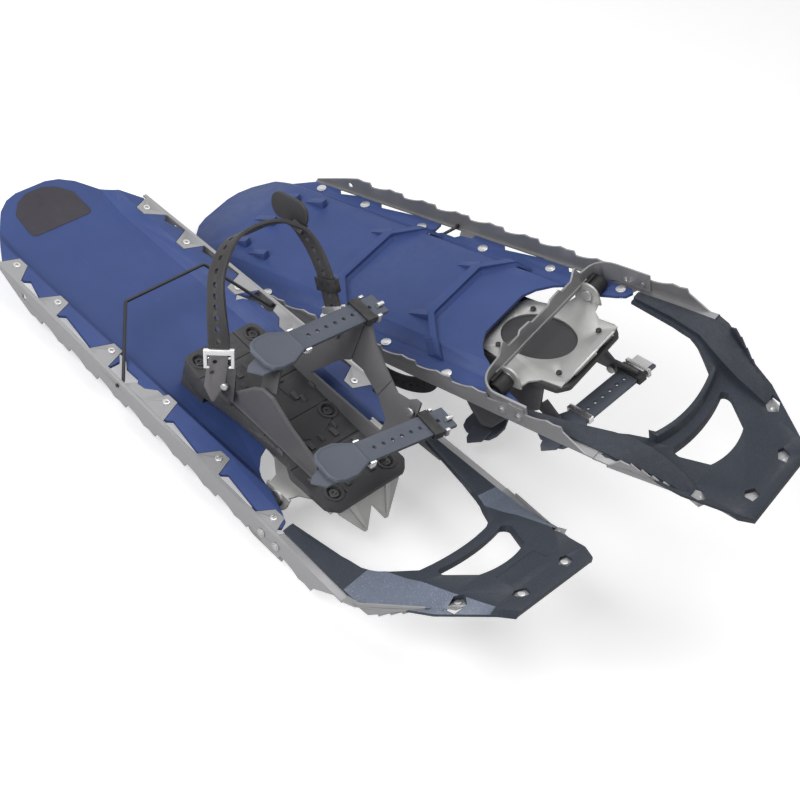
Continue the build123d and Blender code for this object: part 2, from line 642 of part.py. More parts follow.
# ---------------------------------------------------------------- heel strap
HEEL_ROUTES = {                  # chosen by hand: (point, width direction)
    "left": [((318.0, -54.5, 12.0), (1, 0, 0)), ((315.0, -54.5, 40.0), (1, 0, 0)), ((307.0, -52.5, 72.0), (1, 0, 0.1)),
             ((292.0, -50.5, 113.0), (1, 0, 0.3)), ((280.0, -44.5, 137.0), (1, 0, 0.4)),
             ((268.0, -27.0, 149.0), (0.7, 0, 0.7)), ((266.0, 3.0, 152.0), (0.5, 0, 0.9)),
             ((268.0, 31.0, 151.0), (0.7, 0, 0.7)), ((276.0, 46.0, 145.0), (1, 0, 0.4)),
             ((290.0, 53.0, 133.0), (0.8, 0, 0.6)), ((308.0, 56.0, 115.0), (0.8, 0, 0.5)),
             ((323.0, 57.0, 90.0), (0.9, 0, 0.4)), ((341.0, 56.2, 66.0), (0.8, 0, 0.6))],
    "right": [((315.0, -54.5, 10.0), (1, 0, 0)), ((311.0, -54.0, 38.0), (1, 0, 0)), ((297.0, -51.5, 60.0), (0.9, 0, 0.4)),
              ((270.0, -49.0, 73.0), (0.4, 0, 0.9)), ((241.0, -45.0, 76.0), (0, 0, 1)),
              ((222.0, -27.0, 78.0), (0, 0, 1)), ((216.0, 2.0, 80.0), (0, 0, 1)), ((223.0, 31.0, 81.0), (0, 0, 1)),
              ((242.0, 49.0, 81.0), (0, 0, 1)), ((275.0, 55.0, 82.0), (0, 0, 1)), ((312.0, 56.6, 80.0), (0.2, 0, 1)),
              ((343.0, 56.2, 65.0), (0.4, 0, 0.9))],
}


def heel_strap(side):
    return ribbon(HEEL_ROUTES[side], HEEL_STRAP_W, HEEL_STRAP_T) - wing_pins()


def route_frame(side, at):
    """Frame on the heel strap at a station: X across the strap, Y square to its face, Z along it."""
    route = HEEL_ROUTES[side]
    point, across = route[at]
    along = Vector(*route[min(at + 1, len(route) - 1)][0]) - Vector(*route[max(at - 1, 0)][0])
    return Location(Plane(origin=point, x_dir=across, z_dir=along))


def heel_buckle(side, strap):
    """Steel frame round the heel strap with a middle bar and a prong."""
    outer = RectangleRounded(HEEL_STRAP_W + 10, 20.0, 3.0)
    slots = Pos(0, 5.0) * Rectangle(HEEL_STRAP_W + 3.5, 5.2) + Pos(0, -5.0) * Rectangle(HEEL_STRAP_W + 3.5, 5.2)
    frame = Rot(90, 0, 0) * extrude(outer - slots, 2.2)
    prong = Pos(0, -3.0, 3.5) * Box(2.4, 2.0, 12.0)
    return route_frame(side, 1) * Pos(0, -HEEL_STRAP_T / 2 - 0.2, 0) * (frame + prong) - strap


def heel_paddle(side, strap):
    """Loose pull end that stands out from the strap's outboard bend."""
    (x, y, z), _ = HEEL_ROUTES[side][8]
    tongue = extrude(RectangleRounded(42.0, 24.0, 11.0), HEEL_STRAP_T)
    return Pos(x - 13, y + 11.5, z + 2.5) * Rot(0, -14, 0) * Rot(90, 0, 0) * tongue - strap


def heel_keeper(side, strap):
    """Keeper that holds the doubled strap together."""
    loop = Box(HEEL_STRAP_W + 6.0, HEEL_STRAP_T + 5.4, 8.0) - Box(HEEL_STRAP_W + 2.0, HEEL_STRAP_T + 1.4, 12.0)
    return (route_frame(side, -3) * loop - strap).solids().sort_by(SortBy.VOLUME)[-1]


# ---------------------------------------------------------------- heel lifter
def heel_lifter():
    end_y = rail_y(LIFTER_X) + 1.4
    bend_y = rail_y(LIFTER_X) - RAIL_SHEET - 4.5
    half = [(LIFTER_X, end_y, LIFTER_Z), (LIFTER_X, bend_y, LIFTER_Z), (188.0, 45.0, 27.0)]
    route = half + [(x, -y, z) for x, y, z in reversed(half)]
    path = FilletPolyline(*route, radius=4.0)
    section = Plane(origin=path @ 0, z_dir=path % 0) * Circle(LIFTER_R)
    return sweep(section, path=path)


# ---------------------------------------------------------------- one shoe
def shoe(side):
    """All nodes of one shoe in the left shoe's own frame."""
    outboard, outboard_nose = rail_and_nose()
    inboard = mirror(outboard, about=Plane.XZ)
    inboard_nose = mirror(outboard_nose, about=Plane.XZ)
    bar = crossbar()
    bed = footbed()
    heel_band = heel_strap(side)
    hooks = [strap_hook(name) for name in STRAPS]
    keepers = [strap_keeper(name) for name in STRAPS]
    return {
        "outboard_rail": outboard,
        "inboard_rail": inboard,
        "deck": deck(),
        "outboard_nose_strip": outboard_nose,
        "inboard_nose_strip": inboard_nose,
        "toe": toe((outboard, inboard, outboard_nose, inboard_nose)),
        "deck_rivets": deck_rivets(),
        "toe_rivets": toe_rivets(),
        "crossbar": bar,
        "crossbar_rivets": crossbar_rivets(),
        "pivot_pins": pivot_pins(),
        "pivot_washers": pivot_washers(),
        "pivot_bushes": pivot_bushes(bar),
        "crampon": crampon(),
        "footbed": bed,
        "binding_bolts": binding_bolts(),
        "outboard_wing": outboard_wing(bed) - heel_band - keepers,
        "inboard_wing": inboard_wing(bed),
        "rear_strap": forefoot_strap("rear_strap") - hooks,
        "front_strap": forefoot_strap("front_strap") - hooks,
        "strap_keepers": keepers,
        "strap_hooks": hooks,
        "heel_strap": heel_band,
        "heel_buckle": heel_buckle(side, heel_band),
        "heel_keeper": heel_keeper(side, heel_band),
        "heel_paddle": heel_paddle(side, heel_band),
        "wing_pins": wing_pins(),
        "heel_lifter": heel_lifter(),
    }


def all_solids(shapes):
    """Separate solids of one shape or of a list of shapes."""
    if not isinstance(shapes, list):
        shapes = [shapes]
    return [solid for shape in shapes for solid in shape.solids()]


def placed(shapes, side):
    """Move a shoe's node to its place in the pair."""
    if side == "left":
        return Rot(LEFT_ROLL, 0, 0) * shapes
    roll, pitch, yaw = RIGHT_TURN
    turn = Rot(0, 0, yaw) * Rot(0, pitch, 0) * Rot(roll, 0, 0)
    return Pos(*RIGHT_ORIGIN) * turn * mirror(shapes, about=Plane.XZ)


def pair():
    """Nodes of both shoes, lowest point on the floor at Z = 0, centred over the origin."""
    nodes = {}
    for side in ("left", "right"):
        for name, shapes in shoe(side).items():
            nodes[f"{side}_{name}"] = placed(Compound(all_solids(shapes)), side)
    box = Compound(all_solids(list(nodes.values()))).bounding_box()
    centre = Pos(-(box.min.X + box.max.X) / 2, -(box.min.Y + box.max.Y) / 2, -box.min.Z)
    return {name: centre * part for name, part in nodes.items()}


os.makedirs("parts", exist_ok=True)
for node, part in pair().items():
    export_step(part, f"parts/{node}.step")
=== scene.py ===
"""Dresses a packed pair of moulded-deck snowshoes for rendering and lists its pieces in a sidebar panel.

The left shoe stands on its inboard rail and leans on the right shoe, which lies upside down. New pieces are
modelled in a shoe's own frame, with X from tail to toe, +Y outboard and Z = 0 at the rail flanges' top, and
then moved to their place in the pair. Outlines and places are in millimetres.
"""
import json
from math import atan2, cos, radians, sin

import bpy
from bpy.props import FloatProperty, FloatVectorProperty, PointerProperty
from mathutils import Matrix, Vector


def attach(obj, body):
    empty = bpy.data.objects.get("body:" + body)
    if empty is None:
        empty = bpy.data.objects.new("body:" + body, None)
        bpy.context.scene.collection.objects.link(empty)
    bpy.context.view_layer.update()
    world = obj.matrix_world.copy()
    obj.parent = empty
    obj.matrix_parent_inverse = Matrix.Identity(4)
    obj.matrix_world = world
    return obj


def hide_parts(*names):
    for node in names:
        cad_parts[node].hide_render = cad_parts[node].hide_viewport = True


bl_info = {
    "name": "Snowshoe Pair",
    "version": (1, 0, 0),
    "blender": (4, 5, 0),
    "location": "View3D > Sidebar > Snowshoes",
    "description": "Builds the visible pieces of a pair of snowshoes around their CAD frame",
    "category": "Object",
}

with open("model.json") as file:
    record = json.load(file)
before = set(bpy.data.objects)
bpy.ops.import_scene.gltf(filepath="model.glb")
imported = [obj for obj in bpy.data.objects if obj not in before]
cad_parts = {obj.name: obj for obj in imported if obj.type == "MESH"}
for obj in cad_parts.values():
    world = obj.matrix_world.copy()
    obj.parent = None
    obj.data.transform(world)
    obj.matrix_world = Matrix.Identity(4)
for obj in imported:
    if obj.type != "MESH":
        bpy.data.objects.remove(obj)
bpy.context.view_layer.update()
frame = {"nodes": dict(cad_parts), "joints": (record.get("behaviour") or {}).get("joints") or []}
SIDES = ("left", "right")
MM = 0.001
PIVOT_AT = (0.407, 0.0, -0.008)         # the binding's pivot, in metres
LIFTER_AT = (0.2395, 0.0, -0.0045)      # the lifter's pivot, in metres


# ---- the two shoe frames
def joint(name):
    """The frame's joint of that name."""
    return next(item for item in frame["joints"] if item["name"] == name)


def frame_matrix(x_axis, y_axis, z_axis, origin):
    """Matrix of a frame given by its axes and its origin in metres."""
    turned = Matrix((x_axis, y_axis, z_axis)).transposed().to_4x4()
    turned.translation = origin
    return turned


def shoe_place(side):
    """Matrix from a shoe's own frame to its place in the pair."""
    pivot = Vector(joint(f"{side}_heel_lift")["pos_m"])
    lifter = Vector(joint(f"{side}_lifter_swing")["pos_m"])
    axis = Vector(joint(f"{side}_heel_lift")["axis"]).normalized()
    along = (pivot - lifter).normalized()
    up = along.cross(axis).normalized()
    tilt = atan2(LIFTER_AT[2] - PIVOT_AT[2], PIVOT_AT[0] - LIFTER_AT[0])
    x_axis = along * cos(tilt) + up * sin(tilt)
    z_axis = up * cos(tilt) - along * sin(tilt)
    y_axis = axis if side == "left" else -axis
    origin = pivot - x_axis * PIVOT_AT[0] - z_axis * PIVOT_AT[2]
    return frame_matrix(x_axis, y_axis, z_axis, origin)


PLACE = {side: shoe_place(side) for side in SIDES}


# ---- settings
class SnowshoeColours(bpy.types.PropertyGroup):
    """Colours of the pair, as linear values."""
    deck: FloatVectorProperty(name="Deck", description="Colour of the deck plastic", subtype="COLOR",
                              default=(0.045, 0.075, 0.215), min=0, max=1)
    toe: FloatVectorProperty(name="Toe", description="Colour of the toe moulding", subtype="COLOR",
                             default=(0.034, 0.040, 0.053), min=0, max=1)
    binding: FloatVectorProperty(name="Binding", description="Colour of the footbed and wings",
                                 subtype="COLOR", default=(0.050, 0.050, 0.053), min=0, max=1)
    strap: FloatVectorProperty(name="Strap", description="Colour of the forefoot straps", subtype="COLOR",
                               default=(0.106, 0.118, 0.148), min=0, max=1)
    heel: FloatVectorProperty(name="Heel strap", description="Colour of the heel strap", subtype="COLOR",
                              default=(0.041, 0.039, 0.041), min=0, max=1)
    steel: FloatVectorProperty(name="Steel", description="Colour of the rails and crossbar", subtype="COLOR",
                               default=(0.262, 0.262, 0.268), min=0, max=1)


class SnowshoeSizes(bpy.types.PropertyGroup):
    """Sizes that change the look of edges and grain."""
    moulded_edge: FloatProperty(name="Moulded edge", description="Rounding of the plastic mouldings' edges",
                                default=0.9 * MM, min=0, max=0.003, unit="LENGTH", precision=5)
    sheet_edge: FloatProperty(name="Sheet edge", description="Rounding of the sheet steel's edges",
                              default=0.3 * MM, min=0, max=0.001, unit="LENGTH", precision=5)
    strap_edge: FloatProperty(name="Strap edge", description="Rounding of the straps' edges",
                              default=0.5 * MM, min=0, max=0.002, unit="LENGTH", precision=5)
    panel_rise: FloatProperty(name="Panel rise", description="Height of the bare tail panel over the deck",
                              default=0.5 * MM, min=0, max=0.002, unit="LENGTH", precision=5)


# ---- modelling helpers
def deselect():
    """Leave nothing selected."""
    bpy.ops.object.select_all(action="DESELECT")


def choose(piece):
    """Make a piece the only selected and the active object."""
    deselect()
    piece.select_set(True)
    bpy.context.view_layer.objects.active = piece


def shape_faces(piece, test):
    """Open a piece in edit mode with the faces selected that pass a test."""
    choose(piece)
    bpy.ops.object.mode_set(mode="EDIT")
    bpy.ops.mesh.select_mode(type="FACE")
    bpy.ops.mesh.select_all(action="DESELECT")
    bpy.ops.object.mode_set(mode="OBJECT")
    for face in piece.data.polygons:
        face.select = bool(test(face))
    bpy.ops.object.mode_set(mode="EDIT")


def shape_all(piece):
    """Open a piece in edit mode with all of it selected."""
    choose(piece)
    bpy.ops.object.mode_set(mode="EDIT")
    bpy.ops.mesh.select_all(action="SELECT")


def shaped():
    """Leave edit mode."""
    bpy.ops.object.mode_set(mode="OBJECT")


def modify(piece, kind, **values):
    """Add a modifier with these values and apply it."""
    choose(piece)
    modifier = piece.modifiers.new(kind.title(), kind)
    for key, value in values.items():
        setattr(modifier, key, value)
    bpy.ops.object.modifier_apply(modifier=modifier.name)


def round_edges(piece, width, segments=2, angle=28):
    """Round the sharp edges of a piece."""
    modify(piece, "BEVEL", width=width, segments=segments, limit_method="ANGLE", angle_limit=radians(angle),
           use_clamp_overlap=True, harden_normals=False)


def copy_of(node):
    """A clean working copy of a CAD node: welded, with its flat faces whole."""
    source = frame["nodes"][node]
    piece = bpy.data.objects.new(f"{node}_piece", source.data.copy())
    bpy.context.scene.collection.objects.link(piece)
    piece.data.materials.clear()
    choose(piece)
    if piece.data.has_custom_normals:
        bpy.ops.mesh.customdata_custom_splitnormals_clear()
    shape_all(piece)
    bpy.ops.mesh.remove_doubles(threshold=0.02 * MM)
    bpy.ops.mesh.dissolve_limited(angle_limit=radians(0.6))
    shaped()
    return piece


def shoe_copy(side, node):
    """Working copy of a CAD node in its shoe's own frame."""
    piece = copy_of(f"{side}_{node}")
    piece.data.transform(PLACE[side].inverted())
    if side == "right":
        piece.data.flip_normals()
    return piece


def to_pair(piece, side):
    """Move a piece from its shoe's own frame to its place in the pair."""
    choose(piece)
    bpy.ops.object.transform_apply(location=True, rotation=True, scale=True)
    piece.data.transform(PLACE[side])
    if side == "right":
        piece.data.flip_normals()


def join(name, pieces):
    """Join pieces into the first one."""
    deselect()
    for piece in pieces:
        piece.select_set(True)
    bpy.context.view_layer.objects.active = pieces[0]
    if len(pieces) > 1:
        bpy.ops.object.join()
    pieces[0].name = name
    return pieces[0]


def block(centre, size, turn=(0, 0, 0), top=1.0):
    """Block in millimetres, its top face scaled to make it a stud."""
    deselect()
    bpy.ops.mesh.primitive_cube_add(size=1, location=[v * MM for v in centre], scale=[v * MM for v in size],
                                    rotation=[radians(v) for v in turn])
    piece = bpy.context.active_object
    if top != 1.0:
        shape_faces(piece, lambda face: face.normal.z > 0.9)
        bpy.ops.transform.resize(value=(top, top, 1))
        shaped()
    bpy.ops.object.transform_apply(location=True, rotation=True, scale=True)
    return piece


def disc(centre, radius, depth, turn=(0, 0, 0), sides=32):
    """Round boss in millimetres."""
    deselect()
    bpy.ops.mesh.primitive_cylinder_add(vertices=sides, radius=radius * MM, depth=depth * MM,
                                        location=[v * MM for v in centre],
                                        rotation=[radians(v) for v in turn])
    piece = bpy.context.active_object
    bpy.ops.object.transform_apply(location=True, rotation=True, scale=True)
    return piece


def outline_plate(points, z, thick):
    """Plate over an outline of (x, y) points in millimetres, extruded upwards."""
    deselect()
    bpy.ops.mesh.primitive_circle_add(vertices=len(points), radius=MM, fill_type="NGON")
    piece = bpy.context.active_object
    for vertex, (x, y) in zip(piece.data.vertices, points):
        vertex.co = (x * MM, y * MM, z * MM)
    shape_all(piece)
    bpy.ops.mesh.extrude_region_move(TRANSFORM_OT_translate={"value": (0, 0, thick * MM)})
    bpy.ops.mesh.select_all(action="SELECT")
    bpy.ops.mesh.normals_make_consistent(inside=False)
    shaped()
    return piece


def lay_on(piece, origin, x_axis, z_axis):
    """Move a piece from the flat to a frame given by an origin in millimetres and two directions."""
    z_axis = Vector(z_axis).normalized()
    y_axis = z_axis.cross(Vector(x_axis)).normalized()
    x_axis = y_axis.cross(z_axis)
    piece.data.transform(frame_matrix(x_axis, y_axis, z_axis, Vector(origin) * MM))
    return piece


def combine(piece, operation, other, **more):
    """Add, cut or intersect a piece with another, which is then removed."""
    modify(piece, "BOOLEAN", operation=operation, object=other, solver="EXACT", **more)
    bpy.data.objects.remove(other)


def cut(piece, cutters):
    """Cut joined cutters out of a piece."""
    combine(piece, "DIFFERENCE", join("cutter", cutters), use_self=True)


def sink(piece, test, rim):
    """Sink the faces that pass a test, inside a rim of this width in millimetres."""
    shape_faces(piece, test)
    bpy.ops.mesh.inset(thickness=rim * MM, depth=0)
    bpy.ops.mesh.inset(thickness=0.5 * MM, depth=-0.5 * MM)
    shaped()


def smooth_point(points, at):
    """Point of a smooth curve through the points, at a place counted in points."""
    last = len(points) - 1
    index = min(int(at), last - 1)
    t = at - index
    p0, p1, p2, p3 = (Vector(points[max(0, min(last, index + step))]) for step in (-1, 0, 1, 2))
    return 0.5 * (2 * p1 + (p2 - p0) * t + (2 * p0 - 5 * p1 + 4 * p2 - p3) * t ** 2
                  + (3 * p1 - p0 - 3 * p2 + p3) * t ** 3)


ROUTE_STOP = 1.001    # a route stops just before its last station
ROUTE_STEP = 0.02     # stations between the two points that give its direction


def route_frame(route, at):
    """Centre, width direction and face direction of a strap, at a place counted in stations."""
    points, widths = zip(*route)
    centre = smooth_point(points, at)
    along = (smooth_point(points, min(at + ROUTE_STEP, len(route) - ROUTE_STOP))
             - smooth_point(points, max(at - ROUTE_STEP, 0))).normalized()
    across = smooth_point(widths, at)
    across = (across - along * across.dot(along)).normalized()
    return centre, across, along.cross(across)


def strap_along(route, width, thick, rows=72, columns=6):
    """Flat strap that follows a route smoothly."""
    deselect()
    bpy.ops.mesh.primitive_grid_add(x_subdivisions=columns, y_subdivisions=rows, size=MM)
    strap = bpy.context.active_object
    for number, vertex in enumerate(strap.data.vertices):
        row, column = divmod(number, columns + 1)
        centre, across, _ = route_frame(route, (len(route) - ROUTE_STOP) * row / rows)
        vertex.co = (centre + across * width * (column / columns - 0.5)) * MM
    modify(strap, "SOLIDIFY", thickness=thick * MM, offset=0)
    return strap


HOLE_STRETCH = 1.3    # the holes are longer along the strap


def holes_along(route, spots, radius):
    """Cutters for the holes through a strap."""
    cutters = []
    for at in spots:
        centre, across, face = route_frame(route, at)
        hole = disc((0, 0, 0), radius, 12, sides=16)
        hole.data.transform(Matrix.Diagonal((1, HOLE_STRETCH, 1, 1)))
        cutters.append(lay_on(hole, centre, across, face))
    return cutters


def finish_piece(piece, side, name, body, slot, nodes=(), finish=None, angle=32):
    """Name, shade and finish a piece with the material of its finish or slot, attach it to its body and hide
    the CAD nodes it replaces.
    """
    piece.name = f"{side}_{name}"
    choose(piece)
    bpy.ops.object.shade_smooth_by_angle(angle=radians(angle))
    piece.data.materials.clear()
    piece.data.materials.append(FINISH[finish or slot])
    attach(piece, f"{side}_{body}")
    if nodes:
        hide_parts(*(f"{side}_{node}" for node in nodes))


def settle(piece, side, name, body, slot, nodes=(), finish=None, angle=32):
    """Move a piece from its shoe's own frame to its place in the pair and finish it."""
    to_pair(piece, side)
    finish_piece(piece, side, name, body, slot, nodes, finish, angle)


# ---- materials
def material_base(name):
    """New material with its nodes, links and main shader."""
    material = bpy.data.materials.new(name)
    material.use_nodes = True
    tree = material.node_tree
    return material, tree, tree.nodes["Principled BSDF"]


def add_node(tree, kind, values):
    """New node with these input values."""
    node = tree.nodes.new(f"ShaderNode{kind}")
    for name, value in values.items():
        node.inputs[name].default_value = value
    return node


def noise(tree, scale, detail=4.0, rough=0.55, stretch=(1, 1, 1)):
    """Noise over the object's own coordinates, stretched per axis."""
    place = add_node(tree, "TexCoord", {})
    mapping = add_node(tree, "Mapping", {"Scale": stretch})
    texture = add_node(tree, "TexNoise", {"Scale": scale, "Detail": detail, "Roughness": rough})
    tree.links.new(place.outputs["Object"], mapping.inputs["Vector"])
    tree.links.new(mapping.outputs["Vector"], texture.inputs["Vector"])
    return texture.outputs["Fac"]


def spread(tree, source, low, high, out_low=0.0, out_high=1.0):
    """Map a value from one range to another."""
    node = add_node(tree, "MapRange", {"From Min": low, "From Max": high,
                                       "To Min": out_low, "To Max": out_high})
    tree.links.new(source, node.inputs["Value"])
    return node.outputs["Result"]


def maths(tree, operation, first, second):
    """Product or larger one of two values."""
    node = add_node(tree, "Math", {})
    node.operation = operation
    tree.links.new(first, node.inputs[0])
    tree.links.new(second, node.inputs[1])
    return node.outputs["Value"]


def blend_colour(tree, fac, first, second):
    """Colour between two colours or colour outputs."""
    node = add_node(tree, "Mix", {})
    node.data_type = "RGBA"
    tree.links.new(fac, node.inputs["Factor"])
    for socket, value in (("A", first), ("B", second)):
        target = next(s for s in node.inputs if s.name == socket and s.type == "RGBA")
        if isinstance(value, bpy.types.NodeSocket):
            tree.links.new(value, target)
        else:
            target.default_value = (*value, 1)
    return next(s for s in node.outputs if s.type == "RGBA")


def shade(colour, amount):
    """Colour made lighter or darker."""
    return tuple(min(1.0, max(0.0, channel * amount)) for channel in colour)


def edge_mask(tree, low=0.52, high=0.60):
    """One along worn outer edges, nothing on flats."""
    geometry = add_node(tree, "NewGeometry", {})
    return spread(tree, geometry.outputs["Pointiness"], low, high)


def link_surface(tree, shader, colour, gleam, bump, height):
    """Give the main shader its colour, its roughness and its fine relief."""
    tree.links.new(colour, shader.inputs["Base Color"])
    tree.links.new(gleam, shader.inputs["Roughness"])
    tree.links.new(height, bump.inputs["Height"])
    tree.links.new(bump.outputs["Normal"], shader.inputs["Normal"])


def moulded(name, colour, rough, mottle, grain, grain_scale, gloss, wear, speckle=0.0):
    """Moulded plastic or rubber: soft mottling, fine grain, scuffs and paler edges."""
    material, tree, shader = material_base(name)
    cloudy = spread(tree, noise(tree, 22, 5), 0.3, 0.7)
    body = blend_colour(tree, cloudy, shade(colour, 1 - mottle), shade(colour, 1 + mottle))
    scuffs = spread(tree, noise(tree, 90, 8, 0.7, (0.35, 1.6, 1)), 0.60, 0.78, 0, 0.28)
    body = blend_colour(tree, scuffs, body, shade(colour, 1.9))
    patches = spread(tree, noise(tree, 160, 5), 0.3, 0.65, 0.25 * wear, wear)
    worn = maths(tree, "MULTIPLY", edge_mask(tree), patches)
    body = blend_colour(tree, worn, body, tuple(0.45 * channel + 0.16 for channel in shade(colour, 1.4)))
    if speckle:
        dots = spread(tree, noise(tree, 1500, 2, 0.5), 0.62, 0.70, 0, speckle)
        body = blend_colour(tree, dots, body, shade(colour, 4.0))
    gleam = spread(tree, noise(tree, 60, 6), 0.25, 0.75, rough - 0.07, rough + 0.09)
    bump = add_node(tree, "Bump", {"Strength": grain, "Distance": 0.0004})
    link_surface(tree, shader, body, gleam, bump, noise(tree, grain_scale, 3))
    shader.inputs["Specular IOR Level"].default_value = gloss
    return material


def metal(name, colour, rough, grain, stretch, scratch, metallic, dirt):
    """Bare or coated metal: drawn grain, scratches, and darker marks away from its worn edges."""
    material, tree, shader = material_base(name)
    cloudy = spread(tree, noise(tree, 30, 6), 0.3, 0.7)
    body = blend_colour(tree, cloudy, shade(colour, 1 - 0.16 * dirt), shade(colour, 1.04))
    lines = spread(tree, noise(tree, 260, 8, 0.72, (0.12, 2.2, 2.2)), 0.56, 0.74, 0, scratch)
    body = blend_colour(tree, lines, body, shade(colour, 0.62))
    body = blend_colour(tree, edge_mask(tree, 0.52, 0.62), body, shade(colour, 1.28))
    gleam = spread(tree, noise(tree, 80, 6), 0.25, 0.75, rough - 0.08, rough + 0.10)
    bump = add_node(tree, "Bump", {"Strength": grain, "Distance": 0.0003})
    link_surface(tree, shader, body, gleam, bump, noise(tree, 420, 5, 0.6, stretch))
    shader.inputs["Metallic"].default_value = metallic
    return material


def make_materials():
    """All finishes: one for each slot, and some for single pieces.

    The numbers are roughness, mottling, grain, its scale, gloss, wear and speckle for plastic, and
    roughness, grain, its stretch, scratches, metallic share and dirt for metal.
    """
    look = bpy.context.scene.snowshoe_colours
    # painted sheen: a paler copy of the toe plastic stands in for light on the toe's outer facets
    sheen_toe = shade(look.toe, 3.6)
    # painted light: a paler copy of the heel rubber for the lit tongue of the strap
    lit_heel = shade(look.heel, 3.2)
    pale_binding = shade(look.binding, 2.1)
    return {
        "deck_plastic": moulded("Deck Plastic", look.deck, 0.46, 0.06, 0.10, 1300, 0.22, 0.16),
        "toe_plastic": moulded("Toe Plastic", look.toe, 0.50, 0.08, 0.16, 1100, 0.20, 0.22, 0.45),
        # painted sheen and painted glints: paler toe plastic with bright speckles on the outer facets; its
        # bump grain is real relief
        "toe_facet_sheen": moulded("Toe Facet Sheen", sheen_toe, 0.46, 0.10, 0.25, 1100, 0.3, 0.2, 0.5),
        "binding_plastic": moulded("Binding Plastic", look.binding, 0.50, 0.10, 0.14, 1200, 0.22, 0.30, 0.10),
        "wing_plastic": moulded("Wing Plastic", pale_binding, 0.48, 0.08, 0.12, 1200, 0.25, 0.25),
        "strap_rubber": moulded("Strap Rubber", look.strap, 0.50, 0.06, 0.10, 1500, 0.15, 0.18),
        "heel_rubber": moulded("Heel Rubber", look.heel, 0.48, 0.12, 0.12, 1400, 0.25, 0.40),
        # painted light: paler heel rubber on the strap's tongue
        "lit_strap_end": moulded("Lit Strap End", lit_heel, 0.5, 0.10, 0.12, 1400, 0.2, 0.3),
        "black_plastic": moulded("Black Plastic", (0.012, 0.012, 0.013), 0.42, 0.12, 0.10, 1300, 0.25, 0.30),
        "panel_plastic": moulded("Tail Panel", (0.045, 0.042, 0.052), 0.44, 0.08, 0.06, 1600, 0.2, 0.12),
        "rail_steel": metal("Rail Steel", look.steel, 0.46, 0.10, (1, 5, 5), 0.20, 0.55, 0.8),
        "crampon_steel": metal("Crampon Steel", (0.42, 0.42, 0.41), 0.42, 0.12, (3, 3, 3), 0.25, 0.6, 0.8),
        "rivet_steel": metal("Rivet Steel", (0.50, 0.50, 0.50), 0.30, 0.06, (3, 3, 3), 0.15, 0.8, 0.4),
        "buckle_steel": metal("Buckle Steel", (0.74, 0.74, 0.74), 0.22, 0.05, (3, 3, 3), 0.12, 0.9, 0.3),
        "black_steel": metal("Black Steel", (0.020, 0.020, 0.022), 0.34, 0.06, (2, 2, 2), 0.1, 0.3, 0.4),
    }


FINISH = {}


# ---- pieces
def dress_copy(side, node, slot, body, width, segments=2, extra=None):
    """Replace a CAD node by a copy of it with rounded edges and added detail."""
    piece = copy_of(f"{side}_{node}")
    round_edges(piece, width, segments)
    if extra:
        details = join("details", extra)
        to_pair(details, side)
        piece = join("dressed", [piece, details])
    finish_piece(piece, side, f"{node}_piece", body, slot, [node])


def sizes():
    """The size settings."""
    return bpy.context.scene.snowshoe_sizes


def height_at(x, top):
    """Height at x of a top given by its corners."""
    for (x0, z0), (x1, z1) in zip(top, top[1:]):
        if x <= x1:
            return z0 + (z1 - z0) * (x - x0) / (x1 - x0)
    return top[-1][1]


def both_sides(places):
    """Places (x, y) with their mirror images, apart from those on the middle line."""
    return [(x, y * part) for x, y in places for part in ((1, -1) if y else (1,))]


DECK_UNDER = -13.0         # underside of the deck's middle
RIDGES = (204.0, 308.0)
RIDGE_REACH = {69: (31.0, -7.198, 0.26), 60: (22.0, -16.0, 2.24), 35: (0.0, -17.2, 4.0)}
LIP_WIDTH = 8.0
LIP_ROOT = 4.0             # how far the lip is let into its ridge
FINS = ((201.0, 38.0), (305.0, 38.0), (84.0, 38.0), (113.0, 44.0), (86.0, 0.0))
FIN_SIZE = (26.0, 7.0, 9.0)
FIN_ROOT = 1.0             # how far a fin is let into the deck
PANEL_HALF = [(4.5, 9), (10, 22), (22, 33), (45, 34.5), (49, 33), (50.5, 29)]
PANEL_THICK = 1.2
PANEL_AT = (3.0, 0.0, 1.0)
TAIL_RUN = 63.0            # length of the tail's slope
TAIL_DROP = 11.0           # its fall towards the toe


